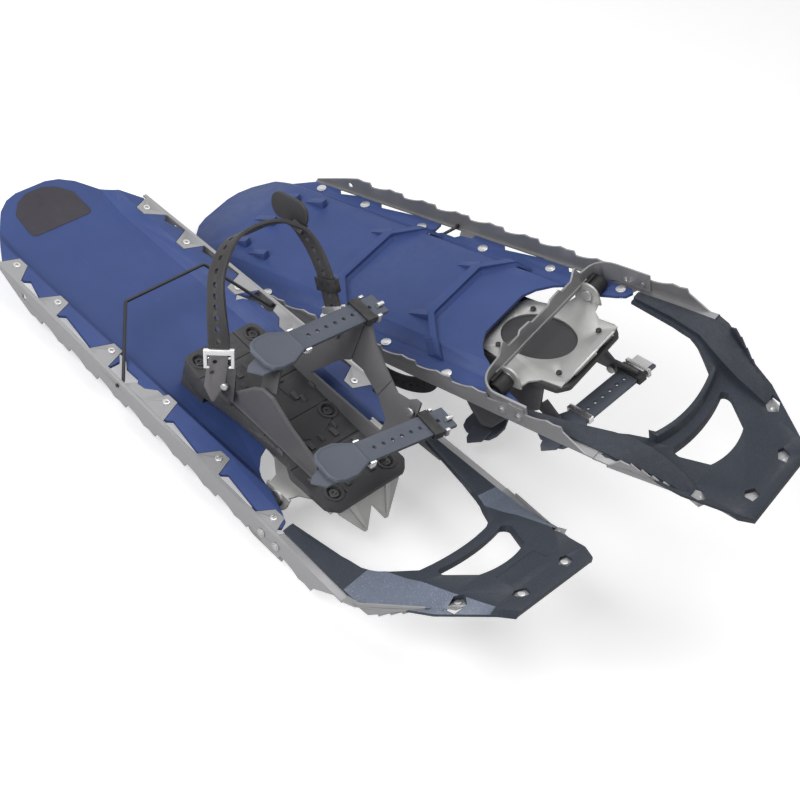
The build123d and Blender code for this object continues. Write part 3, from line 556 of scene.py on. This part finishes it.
class SNOWSHOE_OT_deck(bpy.types.Operator):
    """Round the deck mouldings and put a bare panel on each tail"""
    bl_idname = "snowshoe.deck"
    bl_label = "Decks"

    def execute(self, context):
        for side in SIDES:
            under = [self.ridge(x) for x in RIDGES] + [self.fin(x, y) for x, y in both_sides(FINS)]
            dress_copy(side, "deck", "deck_plastic", "shoe", 0.5 * sizes().moulded_edge, extra=under)
            self.tail_panel(side)
        return {"FINISHED"}

    def ridge(self, x):
        """Lip along a swept ridge under the deck, from stations of reach, sweep, height and depth."""
        half = [(x + sweep, y) for y, (sweep, _, _) in RIDGE_REACH.items()]
        crest = half + [(at, -y) for at, y in reversed(half)]
        lip = outline_plate(crest + [(at - LIP_WIDTH, y) for at, y in reversed(crest)], -1, 2)
        shape_all(lip)
        bpy.ops.mesh.quads_convert_to_tris()
        shaped()
        for vertex in lip.data.vertices:
            _, crest_height, depth = RIDGE_REACH[round(abs(vertex.co.y) / MM)]
            vertex.co.z = (crest_height + (LIP_ROOT if vertex.co.z > 0 else -depth)) * MM
        round_edges(lip, 1.2 * MM)
        return lip

    def fin(self, x, y):
        """Wedge fin under the deck, deepest at its toe end."""
        fin = block((x - FIN_SIZE[0] / 2, y, DECK_UNDER + FIN_ROOT - FIN_SIZE[2] / 2), FIN_SIZE)
        for vertex in fin.data.vertices:
            if vertex.co.x < (x - 1) * MM and vertex.co.z < DECK_UNDER * MM:
                vertex.co.z = (DECK_UNDER + 0.6 * FIN_ROOT) * MM
        round_edges(fin, 0.6 * MM)
        return fin

    def tail_panel(self, side):
        """Bare dark panel let into the tail."""
        outline = PANEL_HALF + [(x, -y) for x, y in reversed(PANEL_HALF)]
        panel = outline_plate(outline, sizes().panel_rise / MM - PANEL_THICK, PANEL_THICK)
        round_edges(panel, 0.4 * MM)
        lay_on(panel, PANEL_AT, (TAIL_RUN, 0, -TAIL_DROP), (TAIL_DROP, 0, TAIL_RUN))
        settle(panel, side, "tail_panel", "shoe", "black_plastic", finish="panel_plastic")


RAILS = {"outboard": 1, "inboard": -1}
STRIP_TOP = ((430, 0), (516, 0), (530, 3.5), (549, 13.0), (578, 31.0), (594, 44.9), (622, 60.4), (634, 63.8))
STRIP_INSIDE = ((560, 60), (572, 68), (577, 75), (588, 84), (645, 62), (645, 8), (560, 8))
RIVET_WINDOWS = (((588.0, 59.0), (593.5, 54.0), (601.0, 59.0), (598.0, 67.5), (590.5, 68.5)),
                 ((618.5, 27.5), (623.0, 19.5), (629.5, 21.5), (628.0, 31.5), (620.5, 33.0)))
TAB_THICK = 1.2
TAB_DROP = 1.45            # underside of a rivet tab below the strip's top
# stretch of the toe's outer facets that gets the painted sheen
SHEEN_REACH = (513.0, 620.0)
SKIRT = ((442, 82, 90.5), (485, 76, 91.5), (519, 68, 92.0), (534, 62, 89.5), (549, 58, 83.5), (563, 56, 78.0),
         (578, 56, 73.0), (590, 57, 70.0))     # station, inner and outer reach
SKIRT_DROP = 3.0
SKIRT_THICK = 2.4


def arm_plate(points, part, z, thick):
    """Plate over an outline that is mirrored for the inboard arm."""
    return outline_plate([(x, part * y) for x, y in points], z, thick)


def inside_toe(part):
    """Cutter over the stretch of nose strip that lies inside the toe, without the rivet windows."""
    region = arm_plate(STRIP_INSIDE, part, -20, 110)
    cut(region, [arm_plate(window, part, -30, 130) for window in RIVET_WINDOWS])
    return region


class SNOWSHOE_OT_toe(bpy.types.Operator):
    """Round the toe mouldings, close their undersides and paint a paler, speckled sheen on their outer facets
    """
    bl_idname = "snowshoe.toe"
    bl_label = "Toes"

    def execute(self, context):
        for side in SIDES:
            self.toe(side)
        return {"FINISHED"}

    def toe(self, side):
        """Toe with its strip slots closed, a skirt under each arm and a painted sheen on its outer facets."""
        piece = shoe_copy(side, "toe")
        round_edges(piece, 1.2 * sizes().moulded_edge, 3)
        for x in SHEEN_REACH:
            shape_all(piece)
            bpy.ops.mesh.bisect(plane_co=(x * MM, 0, 0), plane_no=(1, 0, 0))
            shaped()
        parts = [piece]
        for rail, part in RAILS.items():
            filler = shoe_copy(side, f"{rail}_nose_strip")
            combine(filler, "INTERSECT", inside_toe(part))
            parts += [filler, self.skirt(part)]
        piece = join("toe", parts)
        sheen_faces = [face.index for face in piece.data.polygons if self.gets_sheen(face)]
        settle(piece, side, "toe_piece", "shoe", "toe_plastic", ["toe"])
        # the outer facets get the painted sheen material
        piece.data.materials.append(FINISH["toe_facet_sheen"])
        for index in sheen_faces:
            piece.data.polygons[index].material_index = 1

    def gets_sheen(self, face):
        """Whether a face belongs to the outer facets that get the painted sheen."""
        leaning = abs(face.normal.y) > 0.15 and face.normal.z > 0.4
        return (leaning and SHEEN_REACH[0] < face.center.x / MM < SHEEN_REACH[1]
                and abs(face.center.y) > 45 * MM)

    def skirt(self, part):
        """Plastic that wraps the nose strip from below along one arm."""
        deselect()
        bpy.ops.mesh.primitive_grid_add(x_subdivisions=1, y_subdivisions=len(SKIRT) - 1, size=MM)
        skirt = bpy.context.active_object
        for number, vertex in enumerate(skirt.data.vertices):
            x, inner, outer = SKIRT[number // 2]
            y = outer if number % 2 else inner
            vertex.co = (x * MM, part * y * MM, (height_at(x, STRIP_TOP) - SKIRT_DROP) * MM)
        modify(skirt, "SOLIDIFY", thickness=SKIRT_THICK * MM, offset=0)
        shape_all(skirt)
        bpy.ops.mesh.normals_make_consistent(inside=False)
        shaped()
        round_edges(skirt, 0.8 * MM)
        return skirt


class SNOWSHOE_OT_rails(bpy.types.Operator):
    """Break the edges of the serrated rails and of the crossbars"""
    bl_idname = "snowshoe.rails"
    bl_label = "Rails"

    def execute(self, context):
        for side in SIDES:
            for rail, part in RAILS.items():
                self.rail(side, rail, part)
            dress_copy(side, "crossbar", "rail_steel", "shoe", sizes().sheet_edge, 1)
        return {"FINISHED"}

    def rail(self, side, rail, part):
        """Straight rail and nose strip as one bent sheet, with its rivet tabs."""
        piece = copy_of(f"{side}_{rail}_rail")
        nose = shoe_copy(side, f"{rail}_nose_strip")
        combine(nose, "DIFFERENCE", inside_toe(part))
        tabs = join("tabs", [self.tab(window, part) for window in RIVET_WINDOWS])
        for loose in (nose, tabs):
            to_pair(loose, side)
        combine(piece, "UNION", nose)
        round_edges(piece, sizes().sheet_edge, 1)
        piece = join("rail", [piece, tabs])
        finish_piece(piece, side, f"{rail}_rail_piece", "shoe", "rail_steel",
                     [f"{rail}_rail", f"{rail}_nose_strip"])

    def tab(self, window, part):
        """Steel tab that fills one of the toe's rivet windows."""
        tab = arm_plate(window, part, 0, TAB_THICK)
        for vertex in tab.data.vertices:
            vertex.co.z += (height_at(vertex.co.x / MM, STRIP_TOP) - TAB_DROP) * MM
        return tab


DECK_RIVETS = ((80.2, 74.8), (136.7, 74.4), (208.0, 73.4), (280.4, 74.2), (353.2, 80.2), (426.0, 86.4))
BORE_RADIUS = 1.5


class SNOWSHOE_OT_rivets(bpy.types.Operator):
    """Finish the rivets, pins, washers and bushes"""
    bl_idname = "snowshoe.rivets"
    bl_label = "Rivets"

    def execute(self, context):
        for side in SIDES:
            self.deck_rivets(side)
            for node in ("toe_rivets", "crossbar_rivets", "pivot_pins"):
                dress_copy(side, node, "rivet_steel", "shoe", 0.25 * MM)
            washers = frame["nodes"][f"{side}_pivot_washers"]
            washers.data.materials.clear()
            washers.data.materials.append(FINISH["rivet_steel"])
            dress_copy(side, "pivot_bushes", "black_plastic", "shoe", 0.6 * MM)
        return {"FINISHED"}

    def deck_rivets(self, side):
        """Tubular rivets of the deck, hollow from above."""
        piece = shoe_copy(side, "deck_rivets")
        cut(piece, [disc((x, y, 1.0), BORE_RADIUS, 3.6, sides=20) for x, y in both_sides(DECK_RIVETS)])
        round_edges(piece, 0.25 * MM)
        settle(piece, side, "deck_rivets_piece", "shoe", "rivet_steel", ["deck_rivets"])


EAR_AT = 62.2
EAR_RADIUS = 12.5
EAR_FLARE = 1.5            # how far an ear reaches past its round end at the plate
EAR_TOP = -0.4
EAR_THICK = 2.4


class SNOWSHOE_OT_crampon(bpy.types.Operator):
    """Finish the crampon plates"""
    bl_idname = "snowshoe.crampon"
    bl_label = "Crampons"

    def execute(self, context):
        for side in SIDES:
            dress_copy(side, "crampon", "crampon_steel", "binding", 0.35 * MM, extra=self.ears())
        return {"FINISHED"}

    def ears(self):
        """Round-ended ears that carry the pivot pins."""
        x, z = PIVOT_AT[0] / MM, PIVOT_AT[2] / MM
        arc = [(x + EAR_RADIUS * cos(radians(turn)), z - EAR_RADIUS * sin(radians(turn)))
               for turn in range(0, 181, 12)]
        outline = [(x + EAR_RADIUS + EAR_FLARE, EAR_TOP)] + arc + [(x - EAR_RADIUS - EAR_FLARE, EAR_TOP)]
        ears = []
        for part in (1, -1):
            ear = outline_plate(outline, 0, EAR_THICK)
            lay_on(ear, (0, part * EAR_AT + EAR_THICK / 2, 0), (1, 0, 0), (0, -1, 0))
            round_edges(ear, 0.5 * MM)
            ears.append(ear)
        return ears


BED_TOP = ((250.0, 18.0), (455.0, 5.0))
BED_TILT = (0, 3.63, 0)
BED_REAR = 260.0           # the visible footbed ends here
STUDS_AT = ((304, 33), (312, 17), (343, 35.5), (350, 17.6), (382, 38.5), (386, 19.8), (391, 0), (420, 38),
            (424, 12), (296, 0), (330, 0))
STUD_SIZE = (10, 5.5, 2.6)
BOLTS_AT = ((438.7, 31.0), (371.0, 27.0), (270.7, 31.0))
COLLAR_RADII = (9.2, 6.5)
CROSS_LINES = ((362, 96, 2.0), (402, 120, 2.0), (322, 100, 2.0), (286, 100, 1.6))     # place, length, height
SIDE_LINES = ((383, 17, (1.2, 19, 1.8), 24), (336, 8, (26, 1.2, 1.8), 6), (425, 22, (40, 1.2, 1.8), 0),
              (275, 16, (40, 1.2, 1.8), 0))     # place, size, turn


class SNOWSHOE_OT_footbed(bpy.types.Operator):
    """Round the footbeds and add their grip studs and cut lines"""
    bl_idname = "snowshoe.footbed"
    bl_label = "Footbeds"

    def execute(self, context):
        for side in SIDES:
            self.bed(side)
            dress_copy(side, "binding_bolts", "black_steel", "binding", 0.3 * MM, 1)
        return {"FINISHED"}

    def bed(self, side):
        """Footbed with a shortened rear, cut lines, grip studs and collars round its bolts."""
        piece = shoe_copy(side, "footbed")
        cut(piece, [block((BED_REAR - 15, 0, 10), (30, 120, 80)),
                    *(block((BED_REAR, part * 46, 10), (12, 12, 80), (0, 0, 45)) for part in (1, -1))])
        cut(piece, self.cut_lines())
        round_edges(piece, 0.5 * MM)
        studs = [block((x, y, height_at(x, BED_TOP) + 0.7), STUD_SIZE, BED_TILT, top=0.5)
                 for x, y in both_sides(STUDS_AT)]
        details = join("details", studs + [self.collar(x, y) for x, y in both_sides(BOLTS_AT)])
        round_edges(details, 0.45 * MM)
        piece = join("footbed", [piece, details])
        settle(piece, side, "footbed_piece", "binding", "binding_plastic", ["footbed"])

    def collar(self, x, y):
        """Raised ring round a bolt."""
        outer, inner = COLLAR_RADII
        z = height_at(x, BED_TOP)
        collar = disc((x, y, z + 0.2), outer, 1.6, BED_TILT, 40)
        cut(collar, [disc((x, y, z), inner, 6, BED_TILT, 40)])
        return collar

    def cut_lines(self):
        """Thin cutters for the lines in the footbed's top."""
        lines = [block((x, 0, height_at(x, BED_TOP)), (1.3, length, height), BED_TILT)
                 for x, length, height in CROSS_LINES]
        for part in (1, -1):
            for x, y, size, turn in SIDE_LINES:
                lines.append(block((x, part * y, height_at(x, BED_TOP)), size, (*BED_TILT[:2], part * turn)))
        return lines


WING_LEAN = radians(-16)
OUTBOARD_GROOVES = ((364.7, 52.2, 70.0, 36, 85.0), (406.3, 48.1, 56.0, 28, 105.7))   # middle, length, turn


class SNOWSHOE_OT_wings(bpy.types.Operator):
    """Round the side wings of the bindings"""
    bl_idname = "snowshoe.wings"
    bl_label = "Wings"

    def execute(self, context):
        for side in SIDES:
            self.outboard_wing(side)
            self.inboard_wing(side)
            dress_copy(side, "wing_pins", "rivet_steel", "binding", 0.3 * MM)
        return {"FINISHED"}

    def outboard_wing(self, side):
        """Outboard wing, a pointed arch, with a line along each of its legs."""
        piece = shoe_copy(side, "outboard_wing")
        grooves = []
        for *middle, length, turn in OUTBOARD_GROOVES:
            groove = block((0, 0, 0), (length, 2.0, 1.2), (0, turn, 0))
            place = Matrix.Translation(Vector(middle) * MM)
            groove.data.transform(place @ Matrix.Rotation(WING_LEAN, 4, "X"))
            grooves.append(groove)
        cut(piece, grooves)
        self.finish_wing(piece, side, "outboard_wing")

    def inboard_wing(self, side):
        """Inboard wing, a solid plate, with its outer face sunk inside a rim."""
        piece = shoe_copy(side, "inboard_wing")
        sink(piece, lambda face: face.normal.y < -0.9 and face.area > 0.001, 2.6)
        self.finish_wing(piece, side, "inboard_wing")

    def finish_wing(self, piece, side, node):
        """Round a wing's edges and give it its finish."""
        round_edges(piece, 0.6 * MM)
        settle(piece, side, f"{node}_piece", "binding", "binding_plastic", [node], finish="wing_plastic")


STRAP_TIPS = {"rear_strap": ((349.0, -54.0, 97.0), -4.0), "front_strap": ((441.0, -61.0, 54.0), -8.6)}
POST_FEET = {"rear_strap": (366.0, -51.5, 72.0), "front_strap": (424.0, -41.0, 32.0)}
PADDLE_RISE = 4.2          # top of a strap's paddle over its tip
NECK_REACH = 43.0          # from a strap's tip to the neck of its paddle
LEVER_OUTLINE = ((4, -14), (0, -9), (-4, 6), (16, 8), (15, -6))
UP = (0, 0, 1)


class SNOWSHOE_OT_forefoot(bpy.types.Operator):
    """Round the forefoot straps and finish their keepers and hooks"""
    bl_idname = "snowshoe.forefoot"
    bl_label = "Forefoot Straps"

    def execute(self, context):
        for side in SIDES:
            for node in STRAP_TIPS:
                self.strap(side, node)
            dress_copy(side, "strap_keepers", "black_plastic", "binding", 0.5 * MM)
            dress_copy(side, "strap_hooks", "rivet_steel", "binding", 0.4 * MM)
            self.levers(side)
        return {"FINISHED"}

    def strap(self, side, node):
        """Strap with a sunken field in its paddle."""
        piece = shoe_copy(side, node)
        tip, _ = STRAP_TIPS[node]
        level = (tip[2] + PADDLE_RISE) * MM
        sink(piece, lambda face: face.normal.z > 0.98 and abs(face.center.z - level) < 0.3 * MM, 1.6)
        round_edges(piece, sizes().strap_edge)
        settle(piece, side, f"{node}_piece", "binding", "strap_rubber", [node])

    def levers(self, side):
        """Pointed release levers, steel loops at the straps' necks and the posts that hold them."""
        plates = []
        loops = []
        posts = []
        for node, ((x, y, z), skew) in STRAP_TIPS.items():
            plates.append(lay_on(outline_plate(LEVER_OUTLINE, 0, 2.4), (x - 1, y, z - 3.4), (1, 0, 0), UP))
            across = Vector((cos(radians(skew)), sin(radians(skew)), 0))
            neck = Vector((-across.y, across.x, 0)) * NECK_REACH
            loop = block((0, 0, -1.8), (27, 6, 6.4))
            cut(loop, [block((0, 0, 1.2), (22.8, 8, 8.0))])
            loops.append(lay_on(loop, (x + neck.x, y + neck.y, z + 1.5), across, UP))
            top = Vector((x + 0.55 * neck.x, y + 0.55 * neck.y, z - 2.4))
            posts.append(self.post(Vector(POST_FEET[node]), top))
        for name, pieces, slot in (("strap_levers", plates, "strap_rubber"),
                                   ("strap_loops", loops, "buckle_steel"),
                                   ("strap_posts", posts, "binding_plastic")):
            piece = join(name, pieces)
            round_edges(piece, 0.5 * MM)
            settle(piece, side, name, "binding", slot)

    def post(self, foot, top):
        """Flat post from the side wing up to a strap."""
        points = (foot, foot.lerp(top, 0.4) + Vector((0, -2.0, 0)),
                  foot.lerp(top, 0.8) + Vector((0, -2.5, 1.0)), top)
        return strap_along([(point, (1, 0, 0)) for point in points], 15, 3.0, 16, 2)


HEEL_WIDTH = 18.0
HEEL_THICK = 3.0
HOLE_PITCH = 10.4
HOLE_RADIUS = 2.0
BUCKLE_STATION = 1
KEEPER_STATION = {"left": 9.45, "right": 9.6}
KEEPER_SIZE = (23.5, 12.5, 6.6)
CLIP_STATION = 10.3
CLIP_SIZE = (25.0, 6.5, 5.6)
HEEL_ROUTES = {                  # stations of the heel straps: centre and width direction
    "left": [((311.0, -53.5, 52.0), (0.70, 0.68, 0.22)), ((307.0, -52.5, 72.0), (0.70, 0.68, 0.22)),
             ((292.0, -50.5, 113.0), (0.95, 0.15, 0.35)), ((280.0, -42.3, 132.5), (0.9, 0, 0.45)),
             ((267.0, -18.0, 143.5), (0.7, 0, 0.7)), ((266.0, 7.2, 144.7), (0.5, 0, 0.9)),
             ((268.0, 33.3, 141.5), (0.7, 0, 0.7)), ((276.0, 48.0, 137.0), (1, 0, 0.4)),
             ((291.0, 55.0, 125.0), (0.8, 0, 0.6)), ((310.0, 56.0, 108.0), (0.8, 0, 0.5)),
             ((323.7, 57.0, 86.0), (0.9, 0, 0.4)), ((341.0, 56.2, 66.0), (0.8, 0, 0.6))],
    "right": [((315.0, -54.5, 10.0), (1, 0, 0)), ((311.0, -54.0, 38.0), (1, 0, 0)),
              ((297.0, -51.5, 60.0), (0.9, 0, 0.4)), ((270.0, -49.0, 73.0), (0.4, 0, 0.9)),
              ((241.0, -45.0, 76.0), UP), ((222.0, -27.0, 78.0), UP), ((216.0, 2.0, 80.0), UP),
              ((223.0, 31.0, 81.0), UP), ((242.0, 49.0, 81.0), UP), ((275.0, 55.0, 82.0), UP),
              ((312.0, 56.6, 80.0), (0.2, 0, 1)), ((343.0, 56.2, 65.0), (0.4, 0, 0.9))],
}
UPRIGHT_ROUTE = (((322, -46, 26), (1, 0, 0)), ((321.5, -50.0, 42), (0.9, 0.4, 0.1)),
                 ((318, -50.0, 62), (0.75, 0.6, 0.2)))
TONGUE_OUTLINE = ((-7.5, -2), (7.5, -2), (7.0, -12), (4.6, -30), (-4.8, -46.5), (-7.2, -46.5), (-13.0, -32),
                  (-10.0, -12))
CLIP_OUTLINE = ((-12.8, 2.8), (12.8, 2.8), (12.8, -15), (7.6, -15), (7.6, -12.6), (9.6, -12.6), (9.6, -2.6),
                (-9.6, -2.6), (-9.6, -12.6), (-7.6, -12.6), (-7.6, -15), (-12.8, -15))


class SNOWSHOE_OT_heel(bpy.types.Operator):
    """Model the heel straps and finish their buckles, keepers and pull ends"""
    bl_idname = "snowshoe.heel"
    bl_label = "Heel Straps"

    def execute(self, context):
        for side in SIDES:
            self.strap(side)
            self.tongue(side)
            self.buckle(side)
            if side == "left":
                self.upright(side)
            self.band(side, KEEPER_STATION[side], KEEPER_SIZE, "heel_keeper_piece", "black_plastic",
                      ["heel_keeper"])
            self.band(side, CLIP_STATION, CLIP_SIZE, "heel_end_clip", "rivet_steel")
            self.paddle(side)
        return {"FINISHED"}

    def strap(self, side):
        """Heel strap on its smooth route, with its row of holes."""
        route = HEEL_ROUTES[side]
        strap = strap_along(route, HEEL_WIDTH, HEEL_THICK)
        round_edges(strap, 0.5 * MM, angle=40)
        cut(strap, holes_along(route, self.hole_spots(route), HOLE_RADIUS))
        settle(strap, side, "heel_strap_piece", "binding", "heel_rubber", ["heel_strap"], angle=40)

    def hole_spots(self, route):
        """Places of the holes, one pitch apart along a route and counted in stations."""
        points = [point for point, _ in route]
        step = 0.05
        spots = [BUCKLE_STATION + 0.22]
        while spots[-1] < len(route) - 2:
            at = spots[-1]
            pace = (smooth_point(points, at + step) - smooth_point(points, at)).length / step
            spots.append(at + HOLE_PITCH / pace)
        return spots

    def paddle(self, side):
        """Pull end at the back of the strap."""
        paddle = shoe_copy(side, "heel_paddle")
        if side == "left":
            paddle.data.transform(Matrix.Translation(Vector((0.2, -4.2, -3.8)) * MM))
            paddle = join("paddle", [paddle, block((277, 51.0, 136.5), (13, 4.5, 10), (-35, 0, 0))])
        round_edges(paddle, 0.8 * MM, 3)
        settle(paddle, side, "heel_paddle_piece", "binding", "heel_rubber", ["heel_paddle"])

    def on_buckle(self, side, piece, lift):
        """Lay a flat piece against the strap at its buckle, this far in front of its middle."""
        centre, across, face = route_frame(HEEL_ROUTES[side], BUCKLE_STATION)
        return lay_on(piece, centre - face * lift, across, -face)

    def tongue(self, side):
        """Pointed free end of the strap below the buckle."""
        tongue = outline_plate(TONGUE_OUTLINE, 0, 2.4)
        cut(tongue, [disc((-1.0 - 0.25 * reach, -reach, 0), 1.8, 12, sides=20) for reach in (9, 19)])
        round_edges(tongue, 0.6 * MM)
        self.on_buckle(side, tongue, 1.7)
        # painted light: the tongue gets the paler copy of the heel rubber
        settle(tongue, side, "heel_tongue", "binding", "heel_rubber", finish="lit_strap_end", angle=40)

    def buckle(self, side):
        """Three-sided steel clip and its bar behind the tongue."""
        clip = join("clip", [outline_plate(CLIP_OUTLINE, 0, 3.6), block((0, -6.2, 0.8), (20, 2.2, 1.6))])
        round_edges(clip, 0.8 * MM, 3)
        self.on_buckle(side, clip, 1.4)
        settle(clip, side, "heel_buckle_piece", "binding", "buckle_steel", ["heel_buckle"])

    def upright(self, side):
        """Flat upright that holds the buckle, and the knob that fastens it."""
        upright = strap_along(UPRIGHT_ROUTE, 13, 3.2, 16, 2)
        settle(upright, side, "heel_upright", "binding", "binding_plastic", angle=40)
        knob = disc((0, 0, 1.5), 3.4, 5, sides=28)
        round_edges(knob, 1.2 * MM, 3)
        lay_on(knob, (321.0, -52.5, 43.0), (1, 0, 0), (0.4, -0.9, 0.1))
        settle(knob, side, "heel_knob", "binding", "rivet_steel")

    def band(self, side, at, size, name, slot, nodes=()):
        """Band round the strap, at a place counted in stations."""
        band = block((0, 0, 0), size)
        cut(band, [block((0, 0, 0), (18.4, 20, 3.2))])
        round_edges(band, 0.7 * MM)
        lay_on(band, *route_frame(HEEL_ROUTES[side], at))
        settle(band, side, name, "binding", slot, nodes)


LIFTER_PLAY = 0.3 * MM    # room between the lowered wire and the deck


class SNOWSHOE_OT_lifter(bpy.types.Operator):
    """Finish the wire heel lifters"""
    bl_idname = "snowshoe.lifter"
    bl_label = "Heel Lifters"

    def execute(self, context):
        for side in SIDES:
            wire = copy_of(f"{side}_heel_lifter")
            shape_all(wire)
            bpy.ops.transform.shrink_fatten(value=-LIFTER_PLAY)
            shaped()
            finish_piece(wire, side, "heel_lifter_piece", "lifter", "black_steel", ["heel_lifter"], angle=50)
        return {"FINISHED"}


# ---- stage
CAMERA_AT = (0.6394, -1.1711, 0.9520)
CAMERA_RIGHT = (0.7031, 0.6224, 0.3439)
CAMERA_UP = (-0.6026, 0.2647, 0.7529)
CAMERA_BACK = (0.3776, -0.7366, 0.5612)
LENS = 81.06
FLOOR_GLOW = 0.42
SKY_GLOW = 0.24
LAMPS = (("key", (-0.2, -1.9, 1.15), 1.3, 41), ("top", (-0.3, 0.4, 2.3), 1.5, 13),
         ("back", (0.6, 1.9, 1.6), 1.6, 8))     # place, size in metres, power in watts


class SNOWSHOE_OT_stage(bpy.types.Operator):
    """Add the pale floor and surroundings, the soft lamps and the camera"""
    bl_idname = "snowshoe.stage"
    bl_label = "Stage"

    def execute(self, context):
        self.floor()
        self.lamps()
        self.world(context.scene)
        self.camera(context.scene)
        context.scene.view_settings.view_transform = "Standard"
        return {"FINISHED"}

    def floor(self):
        """Wide pale floor under the pair."""
        deselect()
        bpy.ops.mesh.primitive_plane_add(size=12, location=(0, 0, -0.0004))
        floor = bpy.context.active_object
        bpy.ops.object.transform_apply(location=True, rotation=True, scale=True)
        floor.name = "studio_floor"
        material, tree, shader = material_base("Studio Floor")
        for name, value in (("Base Color", (0.86, 0.86, 0.86, 1)), ("Roughness", 0.9),
                            ("Specular IOR Level", 0.1), ("Emission Color", (1, 1, 1, 1))):
            shader.inputs[name].default_value = value
        rays = add_node(tree, "LightPath", {})
        tree.links.new(spread(tree, rays.outputs["Is Camera Ray"], 0, 1, 0, FLOOR_GLOW),
                       shader.inputs["Emission Strength"])
        floor.data.materials.append(material)

    def lamps(self):
        """Broad key light, top light and back light, turned to the pair."""
        for name, place, size, power in LAMPS:
            bpy.ops.object.light_add(type="AREA", location=place)
            lamp = bpy.context.active_object
            lamp.name = f"{name}_lamp"
            lamp.data.energy = power
            lamp.data.size = size
            lamp.rotation_euler = Vector(place).to_track_quat("Z", "Y").to_euler()

    def world(self, scene):
        """Even pale surroundings, white where the camera sees them."""
        world = bpy.data.worlds.new("Studio")
        world.use_nodes = True
        tree = world.node_tree
        background = tree.nodes["Background"]
        background.inputs["Color"].default_value = (1, 1, 1, 1)
        rays = add_node(tree, "LightPath", {})
        seen = maths(tree, "MAXIMUM", rays.outputs["Is Camera Ray"], rays.outputs["Is Glossy Ray"])
        tree.links.new(spread(tree, seen, 0, 1, SKY_GLOW, 1.0), background.inputs["Strength"])
        scene.world = world

    def camera(self, scene):
        """Camera at its viewing angle, with its roll."""
        bpy.ops.object.camera_add()
        camera = bpy.context.active_object
        camera.name = "studio_camera"
        camera.data.lens = LENS
        camera.data.sensor_width = 36
        camera.data.clip_start = 0.05
        camera.matrix_world = frame_matrix(CAMERA_RIGHT, CAMERA_UP, CAMERA_BACK, CAMERA_AT)
        scene.camera = camera


# ---- panel
OPERATORS = (SNOWSHOE_OT_stage, SNOWSHOE_OT_deck, SNOWSHOE_OT_toe, SNOWSHOE_OT_rails, SNOWSHOE_OT_rivets,
             SNOWSHOE_OT_crampon, SNOWSHOE_OT_footbed, SNOWSHOE_OT_wings, SNOWSHOE_OT_forefoot,
             SNOWSHOE_OT_heel, SNOWSHOE_OT_lifter)


class SNOWSHOE_PT_panel(bpy.types.Panel):
    """Sidebar panel with the pair's settings and operators"""
    bl_idname = "SNOWSHOE_PT_panel"
    bl_label = "Snowshoe Pair"
    bl_space_type = "VIEW_3D"
    bl_region_type = "UI"
    bl_category = "Snowshoes"

    def draw(self, context):
        scene = context.scene
        for settings in (scene.snowshoe_colours, scene.snowshoe_sizes):
            for key in settings.__annotations__:
                self.layout.prop(settings, key)
        for operator in OPERATORS:
            self.layout.operator(operator.bl_idname)


CLASSES = (SnowshoeColours, SnowshoeSizes, *OPERATORS, SNOWSHOE_PT_panel)


def register():
    """Add the settings, the operators and the panel."""
    for item in CLASSES:
        bpy.utils.register_class(item)
    bpy.types.Scene.snowshoe_colours = PointerProperty(type=SnowshoeColours)
    bpy.types.Scene.snowshoe_sizes = PointerProperty(type=SnowshoeSizes)


def unregister():
    """Take them away again."""
    del bpy.types.Scene.snowshoe_sizes
    del bpy.types.Scene.snowshoe_colours
    for item in reversed(CLASSES):
        bpy.utils.unregister_class(item)


def main():
    """Build everything in order."""
    register()
    FINISH.update(make_materials())
    bpy.ops.snowshoe.stage()
    bpy.ops.snowshoe.deck()
    bpy.ops.snowshoe.toe()
    bpy.ops.snowshoe.rails()
    bpy.ops.snowshoe.rivets()
    bpy.ops.snowshoe.crampon()
    bpy.ops.snowshoe.footbed()
    bpy.ops.snowshoe.wings()
    bpy.ops.snowshoe.forefoot()
    bpy.ops.snowshoe.heel()
    bpy.ops.snowshoe.lifter()


if __name__ == "__main__":
    main()
